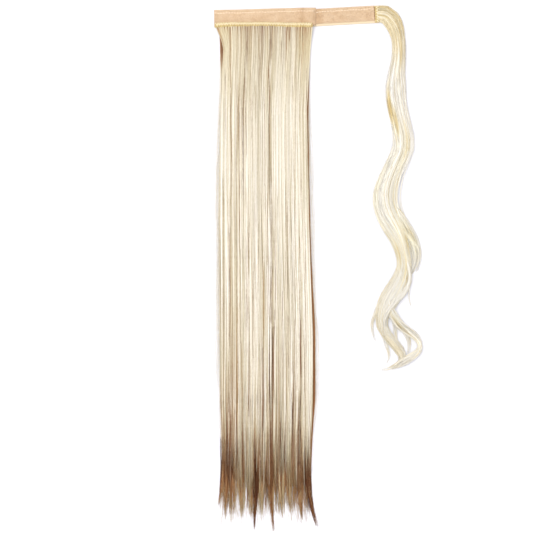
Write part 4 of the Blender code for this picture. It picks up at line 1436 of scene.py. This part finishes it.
WRAP_CURL = (
    (0.62, 0.550, 0.08, 0.60), (0.84, 0.596, 0.42, 0.66), (1.14, 0.642, 0.50, 0.60),
    (1.25, 0.670, 0.50, 0.54), (1.26, 0.696, 0.42, 0.48), (1.22, 0.719, 0.25, 0.38),
    (1.14, 0.737, 0.07, 0.20))
WRAP_CROSSING = (
    (0.82, 0.655, 0.08, 0.45), (0.94, 0.690, 0.17, 0.62), (1.02, 0.719, 0.24, 0.80),
    (1.05, 0.753, 0.26, 0.80), (0.89, 0.787, 0.27, 0.86), (0.54, 0.818, 0.27, 0.90),
    (0.24, 0.849, 0.26, 0.90), (0.12, 0.883, 0.21, 0.80), (0.18, 0.917, 0.10, 0.50))
WRAP_LOOP = (
    (0.34, 0.806, 0.08, 0.60), (0.46, 0.846, 0.34, 0.80), (0.73, 0.880, 0.37, 0.70),
    (1.05, 0.900, 0.32, 0.60), (1.32, 0.918, 0.24, 0.52), (1.46, 0.938, 0.19, 0.50),
    (1.41, 0.957, 0.24, 0.52), (1.14, 0.973, 0.32, 0.56), (0.82, 0.989, 0.31, 0.56),
    (0.45, 1.006, 0.07, 0.24))
wrap_root = wrap_weft_middle + strap_heading * (WRAP_WEFT_WIDTH / 2 + CLEARANCE)
weft_top = HOOK_THICKNESS + CLEARANCE + WRAP_WEFT_THICKNESS
root_depth = (weft_top + 0.0003) / WRAP_DEPTH
wrap_body = ((-0.075, -0.001, 0.94 * HOOK_WIDTH / WRAP_WIDTH, root_depth),
             (0.0, 0.0, HOOK_WIDTH / WRAP_WIDTH, root_depth), *WRAP_BODY)
WRAP_WISPS = (
    ((0.38, 0.760, 0.10, 0.50), (0.04, 0.812, 0.14, 0.40), (-0.19, 0.856, 0.12, 0.30),
     (-0.27, 0.890, 0.12, 0.25), (-0.12, 0.930, 0.05, 0.20)),
    ((0.95, 0.700, 0.06, 0.50), (1.07, 0.760, 0.06, 0.40), (1.06, 0.800, 0.05, 0.25),
     (1.12, 0.828, 0.04, 0.20)),
    ((0.70, 0.555, 0.10, 0.60), (1.12, 0.604, 0.14, 0.50), (1.40, 0.648, 0.12, 0.35),
     (1.47, 0.692, 0.12, 0.30), (1.32, 0.738, 0.06, 0.25)),
    ((0.86, 0.972, 0.10, 0.30), (0.60, 0.994, 0.14, 0.30), (0.30, 1.006, 0.12, 0.25),
     (0.05, 1.008, 0.06, 0.20)),
    ((0.14, 0.890, 0.10, 0.50), (0.22, 0.930, 0.14, 0.35), (0.36, 0.965, 0.10, 0.30),
     (0.26, 0.990, 0.06, 0.20)),
    ((0.34, 0.830, 0.08, 0.40), (0.52, 0.872, 0.14, 0.35), (0.60, 0.915, 0.14, 0.30),
     (0.66, 0.950, 0.08, 0.25)),
    ((0.66, 0.868, 0.10, 0.50), (0.92, 0.902, 0.16, 0.40), (1.08, 0.932, 0.16, 0.35),
     (1.02, 0.965, 0.08, 0.25)),
    ((0.30, 0.820, 0.10, 0.60), (0.62, 0.862, 0.20, 0.50), (1.00, 0.892, 0.20, 0.40),
     (1.38, 0.912, 0.16, 0.35), (1.52, 0.940, 0.14, 0.30), (1.40, 0.966, 0.06, 0.20)))
HEADING_BLEND = 9


def wavy_path(bends, points, first_heading=None):
    """Evenly spread points of a wavy lock, the way across it, its half width and its depth."""
    rows = smooth_rows(bends, 6)
    place = np.stack((wrap_root[0] + rows[:, 0] * WRAP_SWAY,
                      wrap_root[1] - rows[:, 1] * WRAP_DROP, 0 * rows[:, 0]), axis=1)
    heading = unit(np.gradient(place, axis=0))
    if first_heading is not None:
        blend = ease(np.arange(len(place)) / HEADING_BLEND)[:, None]
        heading = unit(first_heading * (1 - blend) + heading * blend)
    across = np.stack((heading[:, 1], -heading[:, 0], 0 * heading[:, 0]), axis=1)
    run = run_along(place)
    marks = np.linspace(0.0, run[-1], points)
    half, depth = read_between(marks, run, rows[:, 2:4] * (WRAP_WIDTH / 2, WRAP_DEPTH)).T
    return read_between(marks, run, place), unit(read_between(marks, run, across)), half, depth


print("wavy strand, m:", run_along(wavy_path(wrap_body, 60, strap_heading)[0])[-1])

# %% [markdown]
# The strand is pale cream, more golden near its root and where it dips under itself, and
# darker there as painted shade. As with the straight hair, a sheet of columns and rows holds its tone.

# %% Tone of the wavy strand
# share along the strand, usual shade, and warmth
WAVY_TONE = (
    (0.00, 0.83, 0.60), (0.07, 0.83, 0.56), (0.14, 0.88, 0.40), (0.20, 0.97, 0.24),
    (0.28, 1.01, 0.24), (0.36, 1.05, 0.36), (0.45, 1.13, 0.42), (0.55, 1.12, 0.42),
    (0.67, 1.06, 0.40), (0.84, 1.06, 0.32), (1.00, 1.01, 0.30))
# share along the strand, place across it from -1 to 1, sizes of both, and depth of the gold and of its
# painted shade
GOLD_AND_SHADE = (
    (0.13, -0.35, 0.07, 0.18, 0.50), (0.10, 0.35, 0.05, 0.20, 0.25), (0.275, 0.75, 0.035, 0.16, 1.30),
    (0.315, 0.38, 0.035, 0.16, 1.30), (0.39, -0.35, 0.06, 0.25, 0.45), (0.63, -0.60, 0.05, 0.45, 0.60),
    (0.67, 0.55, 0.05, 0.35, 0.60), (0.72, -0.30, 0.05, 0.40, 0.50), (0.86, 0.0, 0.05, 0.80, 0.20),
    (0.50, 0.8, 0.05, 0.25, 0.30), (0.95, 0.0, 0.05, 0.8, 0.30))
CURL_GOLD_AND_SHADE = ((0.45, -0.2, 0.30, 0.8, 0.70),)
LOOP_GOLD_AND_SHADE = ((0.22, 0.0, 0.10, 0.5, 0.30), (0.62, 0.5, 0.2, 0.5, 0.30))


def wavy_tones(lift, gold_and_shade, start=0.0):
    """Shade and warmth of a lock that leaves the strand at a share of its length."""
    across = np.linspace(-1.0, 1.0, COLUMNS)[:, None]
    along = np.linspace(0.0, 1.0, ROWS)[None]
    on_strand = start + (1 - start) * along
    shade = read_off(WAVY_TONE, on_strand) + lift + 0.05 * soft_noise(across * 5, along * 9)
    shade = shade + 0.05 * soft_noise(across * 14, along * 12)
    warm = read_off(WAVY_TONE, on_strand, 2) + 0.12 * soft_noise(across * 6, along * 8)
    for place, side, long, wide, deep in gold_and_shade:
        part = np.exp(-((along - place) / long) ** 2 - ((across - side) / wide) ** 2)
        # Painted shade in each patch: darker, and more golden.
        shade = shade - deep * 0.25 * part
        warm = warm + (1.0 - warm) * np.minimum(part * deep * 1.8, 1.0)
    return np.clip(shade, 0.05, 1.0), np.clip(warm, 0.2, 1.0)


wavy_sheets = {"body": wavy_tones(0.0, GOLD_AND_SHADE),
               "curl": wavy_tones(0.06, CURL_GOLD_AND_SHADE, 0.55),
               "crossing": wavy_tones(0.02, (), 0.65),
               "loop": wavy_tones(0.0, LOOP_GOLD_AND_SHADE, 0.80)}
print("sheets:", sorted(wavy_sheets))

# %% [markdown]
# Combed waves keep their order: neighbours stay together, and the whole bundle slowly turns
# on its way down, so that the hairs cross the strand at a slant. They are set out evenly
# around its cross-section, each at its own depth for all its length, and drift in company.
# Broad ridges run along with them, and one hair in five strays and softens the edge. Each
# hair is pressed flat: its upper side then catches the light as evenly as fine hair does.

# %% Hairs of a wavy lock
WAVY_RADIUS, WAVY_FLATNESS = 0.00023, 0.30
WAVY_MARGIN = 0.0003
STRAY_SHARE = 0.20
CORE_SIDES = 12
# sheet of tones, path, floor, hairs, points along each, how far they turn, and ridges
WAVY_LOCKS = (
    ("body", wrap_body, 0.0, 480, 50, 2.2, 11), ("curl", WRAP_CURL, 0.0004, 90, 16, 1.2, 4),
    ("loop", WRAP_LOOP, 0.0008, 120, 22, 1.5, 5), ("crossing", WRAP_CROSSING, 0.0012, 80, 20, 1.0, 4))
# the same for each thin wisp, from its floor to its ridges
WISP = (0.0003, 16, 12, 0.8, 2)


def wavy_column(side):
    """The column of the colour sheet for a place across the strand, from -1 to 1."""
    return ((side + 1) / 2 * (COLUMNS - 1)).astype(int)


def add_wavy(skein, block, bends, floor, count, points, turn, ridges, first_heading=None, short=0.25):
    """Hairs set out around a wavy path, which slowly circle about its middle.

    block is the lock in the list above whose tones they take, and short how early some end.
    """
    shades, warmths = wavy_sheets[WAVY_LOCKS[block][0]]
    place, across, half, depth = wavy_path(bends, points, first_heading)
    start = (2 * math.pi * (np.arange(count) + 0.5) / count)[:, None]
    ends = 1 - short * draw.uniform(0, 1, count)[:, None] ** 2.2
    marks = np.linspace(0.0, 1.0, points)
    run = marks[None] ** 1.12 * ends
    company = soft_noise(np.cos(start) * 2, run * 4) + soft_noise(np.sin(start) * 2, run * 4)
    own = np.arange(count)[:, None] * 1.0
    angle = start + turn * run + 0.35 * company + 0.08 * soft_noise(own, run * 4)
    ridge = np.cos(ridges * start + 1.5 * company)
    reach = 1 - 0.20 * draw.uniform(0, 1, (count, 1)) ** 1.5 - 0.09 * (1 - ridge)
    loose = np.where(draw.uniform(0, 1, (count, 1)) < STRAY_SHARE, 0.32, 0.02)
    stray = loose * soft_noise(own, run * 6) * ease(run / 0.15)
    side, rise = reach * np.cos(angle), reach * np.sin(angle)
    wide, deep = np.interp(run, marks, half), np.interp(run, marks, depth)
    lines = (read_between(run, marks, place)
             + read_between(run, marks, across) * ((side + stray) * wide)[..., None])
    lines[..., 2] = floor + LOWEST + (deep - WAVY_MARGIN) * (0.5 + 0.5 * rise) * (1 - 0.35 * side ** 2)
    column = wavy_column(side.mean(axis=1))[:, None]
    nearby = wavy_column(side)
    streak = soft_noise(np.cos(start) * 9, run * 3) + soft_noise(np.sin(start) * 9, run * 3)
    gold_line = np.clip(soft_noise(own * 0.4, run * 3) - 0.35, 0, 0.4)
    # Painted shade: a little darker in the grooves between ridges and towards the rims.
    shade = read_sheet(shades, nearby, run) + 0.03 * streak + 0.02 * ridge
    shade = shade - 0.4 * gold_line - 0.05 * side ** 2 + draw.uniform(-0.04, 0.03, (count, 1))
    warm = read_sheet(warmths, nearby, run) - 0.12 * streak + 1.3 * gold_line
    taper = 1 - 0.65 * ease((marks - 0.80) / 0.20)
    radii = WAVY_RADIUS * draw.uniform(0.75, 1.25, count)[:, None] * taper
    skein.add_tubes(lines, radii, flat=WAVY_FLATNESS, shade=np.clip(shade, 0.05, 1.0),
                    warm=np.clip(warm, 0.2, 1.0), along=run,
                    column=(block * COLUMNS + column + 0.25) / COLUMNS * 0.5 / len(WAVY_LOCKS))


def add_wavy_core(skein, sheets, bends, points, first_heading):
    """A closed body inside the strand, so that the table doesn't shine through it."""
    place, across, half, depth = wavy_path(bends, points, first_heading)
    turn = np.linspace(0, 2 * math.pi, CORE_SIDES + 1)[:-1]
    side, rise = np.cos(turn) * 0.68, np.sin(turn)
    ring = place[:, None] + across[:, None] * (half[:, None] * side)[..., None]
    ring[..., 2] = WAVY_MARGIN + (depth[:, None] - WAVY_MARGIN) * (0.32 + 0.30 * rise)
    index = np.arange(points * CORE_SIDES).reshape(points, CORE_SIDES)
    column = np.tile(wavy_column(side), points)
    along = np.repeat(np.linspace(0, 1, points), CORE_SIDES)
    sheet = np.stack((0.5 + np.tile(np.arange(CORE_SIDES) / CORE_SIDES, points) * 0.5, along), axis=1)
    # Painted shade: the core is a little darker than its sheet.
    skein.add(ring.reshape(-1, 3), [walls_between(index), index[:1], index[-1:, ::-1]], sheet,
              shade=read_sheet(sheets[0], column, along) - 0.03, warm=read_sheet(sheets[1], column, along),
              column=sheet[:, 0], along=along)


wavy_skein = Skein(*HAIR_NAMES)
add_wavy_core(wavy_skein, wavy_sheets["body"], wrap_body, 70, strap_heading)
for block, (sheet_name, *lock) in enumerate(WAVY_LOCKS):
    add_wavy(wavy_skein, block, *lock, strap_heading if sheet_name == "body" else None)
for bends in WRAP_WISPS:
    add_wavy(wavy_skein, len(WAVY_LOCKS) - 1, bends, *WISP, short=0.5)
wavy_hair = hair_finish("wavy_hair", 0.48, 0.22, GOLDEN, 30.0, 0.06)
wavy_skein.piece("wavy_strand", wavy_hair, ["wrap_hair"], "pale_hair")
